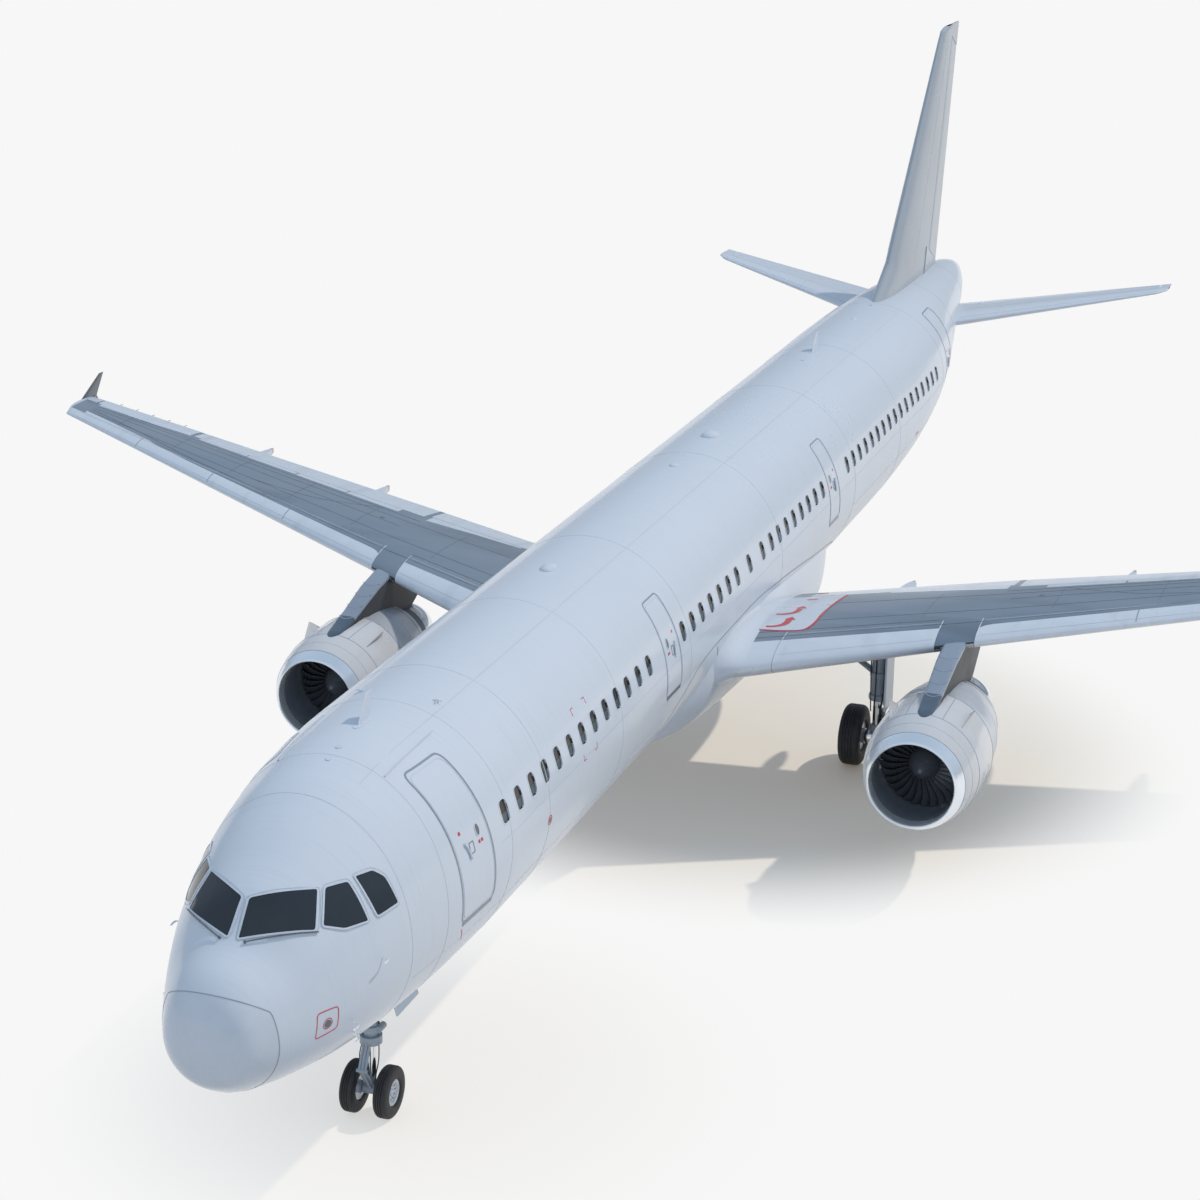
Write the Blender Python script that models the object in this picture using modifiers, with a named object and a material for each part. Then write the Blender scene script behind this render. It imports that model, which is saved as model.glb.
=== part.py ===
"""Twin-engine airliner on its landing gear, as a half-size model.

Every number below is a full-size one, in metres: x to port, s aft of the nose tip, z above the ground.
place() brings it to the model's frame: nose along -Y, +X to port, origin on the ground below the middle.
"""

import math

import bmesh
import bpy
from mathutils import Matrix, Vector

# Driving dimensions
SCALE = 0.5
LENGTH = 44.51
GAP = 0.0006
RUN = 0.012
SIDES = (("left", 1), ("right", -1))

# Fuselage
AXIS_Z = 4.3915
TUBE_HALF_WIDTH = 1.985
TUBE_HALF_HEIGHT = 2.08
RING_POINTS = 40
# station, top and bottom from the axis height, half width, height of the widest place from the axis height
FUSELAGE = (
    (0.00, -0.62, -0.74, 0.06, -0.68), (0.02, -0.50, -0.98, 0.26, -0.70), (0.08, -0.26, -1.22, 0.50, -0.72),
    (0.20, 0.02, -1.34, 0.67, -0.70), (0.45, 0.27, -1.49, 0.83, -0.69), (0.90, 0.48, -1.61, 1.06, -0.67),
    (1.40, 0.96, -1.70, 1.27, -0.62), (1.90, 1.24, -1.79, 1.44, -0.52), (2.60, 1.60, -1.90, 1.60, -0.37),
    (3.50, 1.90, -2.00, 1.74, -0.23), (4.80, 2.06, -2.07, 1.89, -0.10), (6.40, 2.08, -2.08, 1.985, 0.0),
    (29.0, 2.08, -2.08, 1.985, 0.0), (31.0, 2.08, -2.04, 1.985, 0.02), (33.0, 2.07, -1.87, 1.985, 0.10),
    (35.0, 2.05, -1.56, 1.92, 0.245), (37.0, 2.04, -1.10, 1.72, 0.47), (39.0, 1.99, -0.56, 1.39, 0.715),
    (41.0, 1.88, 0.00, 1.06, 0.94), (43.0, 1.72, 0.55, 0.72, 1.135), (44.0, 1.60, 0.83, 0.46, 1.215),
    (44.51, 1.49, 0.97, 0.30, 1.23),
)
SEAM_TAIL = 42.0
BETWEEN_STATIONS = (0.30, 0.65, 2.25, 3.0, 4.1, 5.5, 32.0, 34.0, 36.0, 38.0, 40.0, SEAM_TAIL)
EXHAUST_RADIUS = 0.17
# Radome seam: upright to this height, then leaning forward over the crown
SEAM_S, SEAM_Z, SEAM_LEAN = 0.52, 4.19, 1.116

# Cockpit window band seen from the side, as stations and heights, and how deep the panes sit in it
GLASS = ((0.85, 4.92), (1.62, 4.94), (2.28, 4.82), (2.93, 4.81), (2.90, 5.26), (2.78, 5.36), (0.85, 5.36))
GLASS_DEPTH = 0.08

# Cargo doors, on the starboard side: first and last station
CARGO_DOORS = (("forward_cargo_door", 8.20, 10.02), ("aft_cargo_door", 28.19, 30.01))
CARGO_LOW_STEP, CARGO_HIGH_STEP = 4, 8
CARGO_THICK = 0.12
HOLD_DEPTH = 0.95
KNUCKLE_RADIUS, KNUCKLE_HALF, KNUCKLE_PIN = 0.045, 0.05, 0.018
HINGE_OUT = 0.01

# Belly fairing: station, top, bottom, half width
FAIRING = (
    (14.0, 2.95, 2.30, 0.50), (14.5, 3.75, 2.20, 1.45), (15.2, 4.12, 2.08, 1.93),
    (16.2, 4.16, 1.96, 2.06), (19.4, 4.15, 1.90, 2.09), (21.4, 3.92, 1.90, 2.08),
    (23.4, 3.66, 1.95, 2.00), (25.0, 3.45, 2.06, 1.72), (26.4, 2.95, 2.26, 0.80),
)

# Wing: span position, leading edge station and height, chord, thickness, twist in degrees
WING = (
    (0.80, 16.00, 3.372, 5.98, 0.150, 2.9),
    (1.985, 16.643, 3.469, 5.53, 0.145, 2.6),
    (6.367, 19.01, 3.828, 4.03, 0.120, 0.5),
    (16.63, 24.55, 4.668, 1.33, 0.110, -3.0),
    (16.755, 24.92, 4.70, 0.99, 0.110, -2.0),
)
CAMBER = 0.012
SLAT_TOP, SLAT_BOTTOM = 0.19, 0.09
SLATS = (("inboard_slat", 2.80, 5.54), ("outboard_slat", 6.225, 16.375))
FLAPS = (("inboard_flap", 2.40, 6.33, 0.81), ("outboard_flap", 6.45, 13.18, 0.76))
AILERON = (13.30, 16.28)
AILERON_HINGE = 0.77
# flap track fairings: span position, first chord share, length, depth
TRACKS = ((4.04, 0.86, 1.60, 0.30), (8.39, 0.42, 3.05, 0.45), (11.70, 0.36, 2.60, 0.38))
WING_PAD = (4.60, 0.30)

# Wingtip fence: height, leading and trailing edge stations, half thickness
FENCE_X = 16.791
FENCE = ((4.30, 26.22, 26.50, 0.012), (4.71, 25.42, 26.20, 0.035), (5.185, 26.42, 26.62, 0.012))

# Fin and rudder: height, leading edge, rudder hinge and trailing edge stations, half thickness
FIN = (
    (5.90, 34.66, 40.66, 42.50, 0.27), (6.53, 35.86, 40.90, 42.64, 0.265),
    (7.13, 37.00, 41.12, 42.775, 0.25), (7.75, 37.57, 41.35, 42.915, 0.235),
    (9.39, 39.13, 41.965, 43.28, 0.19), (12.20, 41.72, 43.02, 43.91, 0.10),
    (12.46, 41.95, 43.118, 43.97, 0.085), (12.54, 42.25, 43.148, 43.985, 0.05),
)
RUDDER_LOW, RUDDER_HIGH = 6.82, 12.20

# Stabilizer and elevator: span position, leading edge, hinge and trailing edge stations, height, half thickness
STABILIZER = (
    (0.50, 39.28, 41.44, 42.29, 5.07, 0.165), (1.23, 39.73, 41.72, 42.50, 5.16, 0.155),
    (6.10, 42.69, 43.46, 43.82, 5.775, 0.052), (6.30, 43.00, 43.52, 43.87, 5.80, 0.03),
)
ELEVATOR = (1.45, 6.02)

# Engine: axis, lip station; outer and inner outlines as distance aft of the lip and radius
ENGINE_X, ENGINE_Z, LIP_S = 5.891, 2.216, 15.50
LIP_SEAM, COWL_SEAM, NOZZLE_END = 0.24, 1.95, 3.40
NACELLE_OUTER = (
    (0.00, 0.800), (0.03, 0.838), (0.10, 0.878), (0.24, 0.942), (0.50, 1.010), (0.86, 1.070),
    (1.30, 1.100), (1.95, 1.090), (2.12, 1.062), (2.50, 1.038), (2.80, 1.000), (3.10, 0.945), (3.40, 0.880),
)
NACELLE_INNER = (
    (0.00, 0.800), (0.02, 0.782), (0.08, 0.771), (0.24, 0.774), (0.70, 0.830), (1.05, 0.866), (1.40, 0.866),
    (1.95, 0.868), (2.60, 0.872), (3.40, 0.860),
)
FAN_S, FAN_DEPTH, FAN_RADIUS, FAN_HUB, SPINNER = 1.05, 0.24, 0.846, 0.29, 0.36
FAN_BLADES, BLADE_LEAN, BLADE_CHORD, BLADE_THICK = 18, 0.85, 0.22, 0.022
FAN_SHAFT = 0.10
CORE = (
    (1.42, 0.40), (1.80, 0.52), (2.60, 0.62), (3.40, 0.66), (4.20, 0.65), (4.68, 0.48),
    (4.68, 0.445), (4.50, 0.445), (4.50, 0.30), (4.90, 0.16), (5.12, 0.03),
)
# strakes on the cowl's shoulders: angle from port to up, and the outline as distance aft and radius
STRAKE_ANGLES = (52, 128)
STRAKE = ((0.85, 1.03), (1.40, 1.27), (1.50, 1.28), (1.72, 1.05))
# Pylon: station, bottom, top, half width
PYLON = (
    (16.50, 3.19, 3.22, 0.04), (16.72, 3.14, 3.33, 0.12), (17.02, 3.12, 3.44, 0.165),
    (17.20, 2.62, 3.49, 0.175), (18.10, 2.62, 3.74, 0.20), (18.80, 2.62, 3.85, 0.21),
    (19.60, 2.75, 3.84, 0.19), (20.60, 3.12, 3.76, 0.14), (21.60, 3.42, 3.66, 0.06),
)

# Nose gear
NOSE_S, NOSE_AXLE_Z, NOSE_TYRE_R, NOSE_TYRE_W, NOSE_TRACK = 5.187, 0.412, 0.412, 0.232, 0.28
NOSE_BAY = (4.84, 5.88, 0.31, 2.90)
NOSE_PISTON, NOSE_AXLE, NOSE_SLEEVE = 0.070, 0.045, 0.13
# Main gear
MAIN_S, MAIN_X, MAIN_AXLE_Z, MAIN_TYRE_R, MAIN_TYRE_W, MAIN_TRACK = 21.425, 3.86, 0.628, 0.628, 0.443, 0.465
MAIN_LEG, MAIN_AXLE, MAIN_SLEEVE = 0.15, 0.07, 0.22
MAIN_LEG_LOW, MAIN_LEG_HIGH = 1.46, 3.46

# Finishes: colour, roughness, metallic value
FINISHES = {
    "white_paint": ((0.78, 0.81, 0.85), 0.25, 0.0),
    "wing_grey": ((0.36, 0.41, 0.47), 0.35, 0.2),
    "light_grey": ((0.68, 0.71, 0.75), 0.3, 0.1),
    "dark_grey": ((0.16, 0.17, 0.19), 0.4, 0.2),
    "nozzle_grey": ((0.36, 0.40, 0.45), 0.35, 0.3),
    "dark_glass": ((0.03, 0.035, 0.04), 0.08, 0.0),
    "bright_metal": ((0.72, 0.74, 0.77), 0.18, 1.0),
    "nozzle_metal": ((0.42, 0.43, 0.46), 0.3, 1.0),
    "fan_dark": ((0.06, 0.065, 0.07), 0.4, 0.6),
    "gear_paint": ((0.5, 0.55, 0.6), 0.4, 0.1),
    "tyre_black": ((0.02, 0.02, 0.02), 0.8, 0.0),
}


def place(x, s, z):
    """A full-size place as a point of the model."""
    return Vector((x, s - LENGTH / 2, z)) * SCALE


def clear_scene():
    for thing in list(bpy.data.objects):
        bpy.data.objects.remove(thing, do_unlink=True)


def make_collection(name):
    made = bpy.data.collections.new(name)
    bpy.context.scene.collection.children.link(made)
    return made


def make_material(name, finish):
    colour, roughness, metallic = FINISHES[finish]
    made = bpy.data.materials.new(name)
    made.use_nodes = True
    shader = made.node_tree.nodes["Principled BSDF"]
    shader.inputs["Base Color"].default_value = (*colour, 1.0)
    shader.inputs["Roughness"].default_value = roughness
    shader.inputs["Metallic"].default_value = metallic
    made.diffuse_color = (*colour, 1.0)
    return made


def add_object(name, mesh, finish=None, helper=False):
    """A node with its own material or, as a helper, a cutter that is left out of the model."""
    made = bpy.data.objects.new(name, mesh)
    (cutters if helper else airliner).objects.link(made)
    if helper:
        made.hide_render = True
        made.display_type = "WIRE"
    else:
        made.parent = root
        mesh.materials.append(make_material(f"{name}_{finish}", finish))
    return made


def pivot(name, point, carrier=None):
    """An empty on a joint's axis; what moves with the joint hangs on it."""
    made = bpy.data.objects.new(name, None)
    made.empty_display_size = 0.15
    airliner.objects.link(made)
    made.location = place(*point)
    hang(carrier or root, made)
    return made


def hang(carrier, *pieces):
    """Parents pieces to an empty, and leaves them where they are."""
    for piece in pieces:
        piece.parent = carrier
        piece.matrix_parent_inverse = Matrix.Translation(-carrier.location)


def finish_mesh(name, bm):
    bmesh.ops.recalc_face_normals(bm, faces=bm.faces)
    mesh = bpy.data.meshes.new(name)
    bm.to_mesh(mesh)
    bm.free()
    mesh.shade_smooth()
    mesh.set_sharp_from_angle(angle=math.radians(32))
    return mesh


def loft(name, rings, finish=None, helper=False, origin=None):
    """A solid through rings of equally many full-size points, with flat ends."""
    if origin is None:
        origin = [sum(point[k] for point in rings[0]) / len(rings[0]) for k in range(3)]
    home = place(*origin)
    bm = bmesh.new()
    loops = [[bm.verts.new(place(*point) - home) for point in ring] for ring in rings]
    count = len(loops[0])
    for one, two in zip(loops, loops[1:]):
        for k in range(count):
            n = (k + 1) % count
            bm.faces.new((one[k], one[n], two[n]))
            bm.faces.new((one[k], two[n], two[k]))
    bm.faces.new(loops[0])
    bm.faces.new(loops[-1])
    made = add_object(name, finish_mesh(name, bm), finish, helper)
    made.location = home
    return made


def prism(name, outline, half_width, helper=True):
    """A side view's outline, as stations and heights, drawn out to both sides."""
    rings = [[(x, s, z) for s, z in outline] for x in (-half_width, half_width)]
    return loft(name, rings, helper=helper)


def box(name, low, high, finish=None, helper=False):
    """A box between two full-size corners."""
    bm = bmesh.new()
    bmesh.ops.create_cube(bm, size=1.0)
    size = (Vector(high) - Vector(low)) * SCALE
    bmesh.ops.transform(bm, matrix=Matrix.Diagonal((*size, 1.0)), verts=bm.verts)
    made = add_object(name, finish_mesh(name, bm), finish, helper)
    made.location = place(*((Vector(low) + Vector(high)) / 2))
    return made


def rod(name, start, end, radius, finish=None, helper=False, sides=20):
    """A round bar between two full-size places."""
    first, last = place(*start), place(*end)
    bm = bmesh.new()
    bmesh.ops.create_cone(
        bm, cap_ends=True, segments=sides, radius1=radius * SCALE, radius2=radius * SCALE,
        depth=(last - first).length,
    )
    made = add_object(name, finish_mesh(name, bm), finish, helper)
    made.location = (first + last) / 2
    made.rotation_euler = (last - first).to_track_quat("Z", "Y").to_euler()
    return made


def turned(name, profile, centre, axis, finish=None, helper=False, steps=32):
    """A solid of revolution: profile is (distance along the axis, radius), closed along the axis if need be."""
    area = 0.0
    for (a, r), (b, q) in zip(profile, profile[1:] + profile[:1]):
        area += r * b - q * a
    ordered = list(profile) if area < 0 else list(reversed(profile))
    on_axis = [k for k, point in enumerate(ordered) if point[1] == 0.0]
    bm = bmesh.new()
    verts = [bm.verts.new((r * SCALE, 0.0, a * SCALE)) for a, r in ordered]
    for k, vert in enumerate(verts):
        n = (k + 1) % len(verts)
        if k in on_axis and n in on_axis:
            continue
        bm.edges.new((vert, verts[n]))
    mesh = bpy.data.meshes.new(name)
    bm.to_mesh(mesh)
    bm.free()
    made = add_object(name, mesh, finish, helper)
    made.location = place(*centre)
    made.rotation_euler = {"s": (-math.pi / 2, 0, 0), "x": (0, math.pi / 2, 0), "z": (0, 0, 0)}[axis]
    screw = made.modifiers.new("Turn", "SCREW")
    screw.steps = steps
    screw.render_steps = steps
    screw.use_merge_vertices = True
    screw.merge_threshold = 0.00001
    screw.use_smooth_shade = True
    return made


def boolean(target, tool, operation):
    modifier = target.modifiers.new(operation.title(), "BOOLEAN")
    modifier.operation = operation
    modifier.solver = "EXACT"
    modifier.object = tool


def cut(target, *tools):
    for tool in tools:
        boolean(target, tool, "DIFFERENCE")


def join(target, *tools):
    for tool in tools:
        boolean(target, tool, "UNION")


def bore_radius(pin, sides):
    """The corner radius of a bore whose flats stay one gap away from a round pin."""
    return (pin + GAP) / math.cos(math.pi / sides)


def hinge_pin(name, at, toward, radius, back, reach, fixed, moving):
    """A pin on a hinge line, part of the fixed piece, that the moving piece turns on."""
    at = Vector(at)
    along = (Vector(toward) - at).normalized()
    start = at - along * back
    join(fixed, rod(name, start, at + along * reach, radius, helper=True))
    cut(moving, rod(name + "_bore", start, at + along * (reach + 0.02), bore_radius(radius, 24), helper=True, sides=24))


def between(rows, value):
    """The row at this value of the first column, on straight lines between the rows."""
    for low, high in zip(rows, rows[1:]):
        if value <= high[0]:
            break
    share = (value - low[0]) / (high[0] - low[0])
    return tuple(a + (b - a) * share for a, b in zip(low, high))


def smooth_between(rows, value):
    """The same on curves that keep the rows' slopes and never overshoot."""
    for k in range(len(rows) - 1):
        if value <= rows[k + 1][0]:
            break
    x0, x1 = rows[k][0], rows[k + 1][0]
    t = (value - x0) / (x1 - x0)

    def slope(j, c):
        if j == 0 or j == len(rows) - 1:
            a, b = (0, 1) if j == 0 else (j - 1, j)
            return (rows[b][c] - rows[a][c]) / (rows[b][0] - rows[a][0])
        before = (rows[j][c] - rows[j - 1][c]) / (rows[j][0] - rows[j - 1][0])
        after = (rows[j + 1][c] - rows[j][c]) / (rows[j + 1][0] - rows[j][0])
        return 2 * before * after / (before + after) if before * after > 0 else 0.0

    row = [value]
    for c in range(1, len(rows[0])):
        y0, y1, width = rows[k][c], rows[k + 1][c], x1 - x0
        row.append(
            (2 * t**3 - 3 * t**2 + 1) * y0 + (t**3 - 2 * t**2 + t) * width * slope(k, c)
            + (3 * t**2 - 2 * t**3) * y1 + (t**3 - t**2) * width * slope(k + 1, c)
        )
    return tuple(row)


def fuselage_ring(station, grow=0.0, count=RING_POINTS):
    """Two half ellipses that meet at the widest height, starting at the keel and going up to starboard."""
    _, top, bottom, half, widest = smooth_between(FUSELAGE, station)
    ring = []
    for k in range(count):
        angle = 2 * math.pi * k / count
        rise = (widest - bottom if math.cos(angle) > 0 else top - widest) + grow
        ring.append((-(half + grow) * math.sin(angle), station, AXIS_Z + widest - rise * math.cos(angle)))
    return ring


def fuselage_loft(name, first, last, grow=0.0, finish=None, helper=False):
    """The fuselage skin from one station to another."""
    rows = [row[0] for row in FUSELAGE if first < row[0] < last]
    extra = [s for s in BETWEEN_STATIONS if first < s < last]
    stations = sorted([first, last, *rows, *extra])
    return loft(name, [fuselage_ring(s, grow) for s in stations], finish, helper)


def wing_section(share, row):
    """Upper and lower point of a wing row's section at a share of its chord, as (station, height)."""
    _, lead, height, chord, ratio, twist = row
    root_share = math.sqrt(max(share, 0.0))
    half = 5 * ratio * (
        0.2969 * root_share - 0.126 * share - 0.3516 * share**2 + 0.2843 * share**3 - 0.1015 * share**4
    )
    half += 0.004 * share
    middle = 4 * CAMBER * share * (1 - share)
    lean = math.radians(twist)
    points = []
    for rise in (middle + half, middle - half):
        points.append((
            lead + chord * (share * math.cos(lean) + rise * math.sin(lean)),
            height + chord * (rise * math.cos(lean) - share * math.sin(lean)),
        ))
    return points


def wing_point(span, share, upper, side=1, lift=0.0):
    """A point of the wing's skin, on straight lines between the wing's rows."""
    for low, high in zip(WING, WING[1:]):
        if span <= high[0]:
            break
    part = (span - low[0]) / (high[0] - low[0])
    one = wing_section(share, low)[0 if upper else 1]
    two = wing_section(share, high)[0 if upper else 1]
    station = one[0] + (two[0] - one[0]) * part - (1.5 * lift if share < 0.3 else -lift if share == 1.0 else 0.0)
    height = one[1] + (two[1] - one[1]) * part
    return (side * span, station, height + (lift if upper else -lift))


SHARES = (0.0, 0.012, 0.05, 0.12, 0.22, 0.36, 0.52, 0.68, 0.82, 1.0)


def wing_ring(span, first, last, side, lift=0.0):
    """A closed section between two shares of the chord."""
    inside = [u for u in SHARES if first < u < last]
    ring = [wing_point(span, u, True, side, lift) for u in (first, *inside, last)]
    ring += [wing_point(span, u, False, side, lift) for u in (last, *reversed(inside))]
    if first > 0.0:
        ring.append(wing_point(span, first, False, side, lift))
    return ring


def spans_of(first, last):
    return [first, *[row[0] for row in WING if first < row[0] < last], last]


def bay(name, first, last, share_from, side, slat=False):
    """A block that takes away the wing over a stretch of span, ahead of or behind a line."""
    rings = []
    for span in (first, last):
        chord = between(WING, span)[3]
        if slat:
            top, low = wing_point(span, SLAT_TOP, True, side), wing_point(span, SLAT_BOTTOM, False, side)
            lean = (top[1] - low[1]) / (top[2] - low[2])
            reach, past, back = 0.35 * chord, 0.01, 4 * GAP
            rings.append([
                (side * span, top[1] + back, top[2] + reach), (side * span, low[1] - chord, top[2] + reach),
                (side * span, low[1] - chord, low[2] - reach), (side * span, low[1] + back, low[2] - reach),
                (side * span, low[1] - lean * past + back, low[2] - past),
                (side * span, top[1] + lean * past + back, top[2] + past),
            ])
        else:
            upper, lower = wing_point(span, share_from, True, side), wing_point(span, share_from, False, side)
            front = min(upper[1], lower[1])
            rings.append([
                (side * span, front, upper[2] + chord / 3), (side * span, front, lower[2] - chord / 3),
                (side * span, front + chord, lower[2] - chord / 3), (side * span, front + chord, upper[2] + chord / 3),
            ])
    return loft(name, rings, helper=True)


def nosed_ring(centre, radius, tail, tail_half, across, back=8):
    """A control surface's section: a round nose about its hinge, then flat sides to a thin tail."""
    ring = []
    for k in range(back + 1):
        angle = math.pi * k / back
        ring.append((centre[0] - radius * math.sin(angle), centre[1] + radius * math.cos(angle)))
    ring.append((tail[0], tail[1] - tail_half))
    ring.append((tail[0], tail[1] + tail_half))
    return [across(station, offset) for station, offset in ring]


clear_scene()
airliner = make_collection("Airliner")
cutters = make_collection("Cutters")
root = bpy.data.objects.new("airliner_root", None)
root.empty_display_size = 0.5
airliner.objects.link(root)

# Fuselage with its radome and tail cone
seam_rise = 1.6
seam_tip = (SEAM_S - SEAM_LEAN * seam_rise, SEAM_Z + seam_rise)
radome = fuselage_loft("radome", 0.0, SEAM_S + 0.1, finish="white_paint")
cut(radome, prism("radome_back", (
    (SEAM_S, 1.5), (SEAM_S, SEAM_Z), seam_tip, (SEAM_S + 1.0, seam_tip[1]), (SEAM_S + 1.0, 1.5),
), 2.0))
fuselage = fuselage_loft("fuselage", 0.08, SEAM_TAIL - GAP, finish="white_paint")
cut(fuselage, prism("radome_room", (
    (SEAM_S + GAP, 1.4), (SEAM_S + GAP, SEAM_Z), (seam_tip[0] + GAP, seam_tip[1]), (-2.0, seam_tip[1]), (-2.0, 1.4),
), 2.1))
tail_cone = fuselage_loft("tail_cone", SEAM_TAIL, LENGTH, finish="white_paint")
tail_middle = AXIS_Z + FUSELAGE[-1][4]
cut(tail_cone, rod("exhaust_bore", (0, LENGTH - 0.5, tail_middle), (0, LENGTH + 0.1, tail_middle),
                   EXHAUST_RADIUS, helper=True))


# Cockpit glazing in a shallow band of the nose
def glass_band(name, trim):
    middle = (sum(s for s, z in GLASS) / len(GLASS), sum(z for s, z in GLASS) / len(GLASS))
    outline = []
    for s, z in GLASS:
        outline.append((s + math.copysign(trim, middle[0] - s), z + math.copysign(trim, middle[1] - z)))
    return prism(name, outline, 3.0)


glass_core = fuselage_loft("glass_core", 0.5, 4.0, grow=-GLASS_DEPTH, helper=True)
glass_pocket = glass_band("glass_pocket", 0.0)
cut(glass_pocket, glass_core)
cut(fuselage, glass_pocket)
glazing = fuselage_loft("cockpit_glazing", 0.7, 3.6, finish="dark_glass")
boolean(glazing, glass_band("glass_shape", GAP), "INTERSECT")
cut(glazing, fuselage_loft("glass_back", 0.5, 4.0, grow=GAP - GLASS_DEPTH, helper=True))


# Cargo doors, each a piece of the skin hung along its upper edge
def skin_sector(name, first, last, out, inside, trim, finish=None, helper=False, origin=None):
    """A piece of the starboard skin between two facets' edges, as thick as out and inside say."""
    step = 2 * math.pi / RING_POINTS
    angles = [step * k for k in range(CARGO_LOW_STEP, CARGO_HIGH_STEP + 1)]
    angles[0] += trim / TUBE_HALF_HEIGHT
    angles[-1] -= trim / TUBE_HALF_HEIGHT
    rings = []
    for station in (first + trim, last - trim):
        ring = []
        for grow, order in ((out, angles), (inside, list(reversed(angles)))):
            for angle in order:
                ring.append((
                    -(TUBE_HALF_WIDTH + grow) * math.sin(angle), station,
                    AXIS_Z - (TUBE_HALF_HEIGHT + grow) * math.cos(angle),
                ))
        rings.append(ring)
    return loft(name, rings, finish, helper, origin)


hinge_angle = 2 * math.pi / RING_POINTS * CARGO_HIGH_STEP - RUN / TUBE_HALF_HEIGHT
hinge_x = -(TUBE_HALF_WIDTH + HINGE_OUT) * math.sin(hinge_angle)
hinge_z = AXIS_Z - (TUBE_HALF_HEIGHT + HINGE_OUT) * math.cos(hinge_angle)
for door_name, door_first, door_last in CARGO_DOORS:
    cut(fuselage, skin_sector(door_name + "_bay", door_first, door_last, 0.2, -HOLD_DEPTH, 0.0, helper=True))
    middle = (hinge_x, (door_first + door_last) / 2, hinge_z)
    door = skin_sector(door_name, door_first, door_last, 0.0, -CARGO_THICK, RUN, "white_paint", origin=middle)
    hang(pivot(door_name + "_axis", middle), door)
    # Two hinges: the door's knuckle turns on a pin between two lugs of the fuselage
    for number, station in enumerate((door_first + 0.35, door_last - 0.35)):
        def along_hinge(label, first, last, radius, sides=14):
            return rod(f"{door_name}_{label}_{number}", (hinge_x, station + first, hinge_z),
                       (hinge_x, station + last, hinge_z), radius, helper=True, sides=sides)

        reach, lug = KNUCKLE_HALF + 0.015, KNUCKLE_HALF + 0.065
        clear = KNUCKLE_RADIUS + RUN
        cut(fuselage, along_hinge("knuckle_room", 0.003 - reach, reach - 0.003, clear))
        cut(door, along_hinge("lug_room_fore", -lug - RUN, -KNUCKLE_HALF - 0.003, clear))
        cut(door, along_hinge("lug_room_aft", KNUCKLE_HALF + 0.003, lug + RUN, clear))
        join(fuselage, along_hinge("lug_fore", -lug, -reach, KNUCKLE_RADIUS))
        join(fuselage, along_hinge("lug_aft", reach, lug, KNUCKLE_RADIUS))
        join(fuselage, along_hinge("pin", -lug + 0.02, lug - 0.02, KNUCKLE_PIN))
        join(door, along_hinge("knuckle", -KNUCKLE_HALF, KNUCKLE_HALF, KNUCKLE_RADIUS))
        cut(door, along_hinge("knuckle_bore", -lug, lug, bore_radius(KNUCKLE_PIN, 20), sides=20))

# Nose gear bay
bay_first, bay_last, bay_half, bay_top = NOSE_BAY
cut(fuselage, box("nose_bay", (-bay_half, bay_first, 1.5), (bay_half, bay_last, bay_top), helper=True))

# Jacking pad under the forward fuselage
PAD_S, PAD_RADIUS = 7.00, 0.10
join(fuselage, rod("forward_pad", (0, PAD_S, AXIS_Z - TUBE_HALF_HEIGHT - 0.05), (0, PAD_S, AXIS_Z - 1.9),
                   PAD_RADIUS, helper=True))


# Belly fairing, shaped to sit under the fuselage
def fairing_ring(row, grow=0.0):
    station, top, bottom, half = row
    height = min(max((top - AXIS_Z) / TUBE_HALF_HEIGHT, -0.98), 0.98)
    inner = TUBE_HALF_WIDTH * math.sqrt(1 - height**2) - 0.06
    edge = min(inner, half)
    port = [
        (0.0, bottom - grow), (0.50 * half, bottom - grow), (0.80 * half + grow, bottom + 0.10 - grow),
        (0.95 * half + grow, bottom + 0.32), (half + grow, bottom + 0.42 * (top - bottom)),
        ((half + edge) / 2 + 0.02 + grow, bottom + 0.75 * (top - bottom)), (edge + grow, top + grow),
    ]
    port = [(x, station, z) for x, z in port]
    return port + [(-x, s, z) for x, s, z in reversed(port[1:])]


def fairing_loft(name, grow=0.0, finish=None, helper=False):
    rows = list(FAIRING)
    stations = sorted({row[0] for row in rows} | {14.8, 15.7, 22.4, 24.2, 25.8})
    return loft(name, [fairing_ring(smooth_between(rows, s), grow) for s in stations], finish, helper)


fairing = fairing_loft("belly_fairing", finish="white_paint")
fuselage_clear = fuselage_loft("fuselage_clear", 1.0, SEAM_TAIL + 1.0, grow=GAP, helper=True)
fairing_clear = fairing_loft("fairing_clear", GAP, helper=True)
cut(fairing, fuselage_clear)

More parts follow.
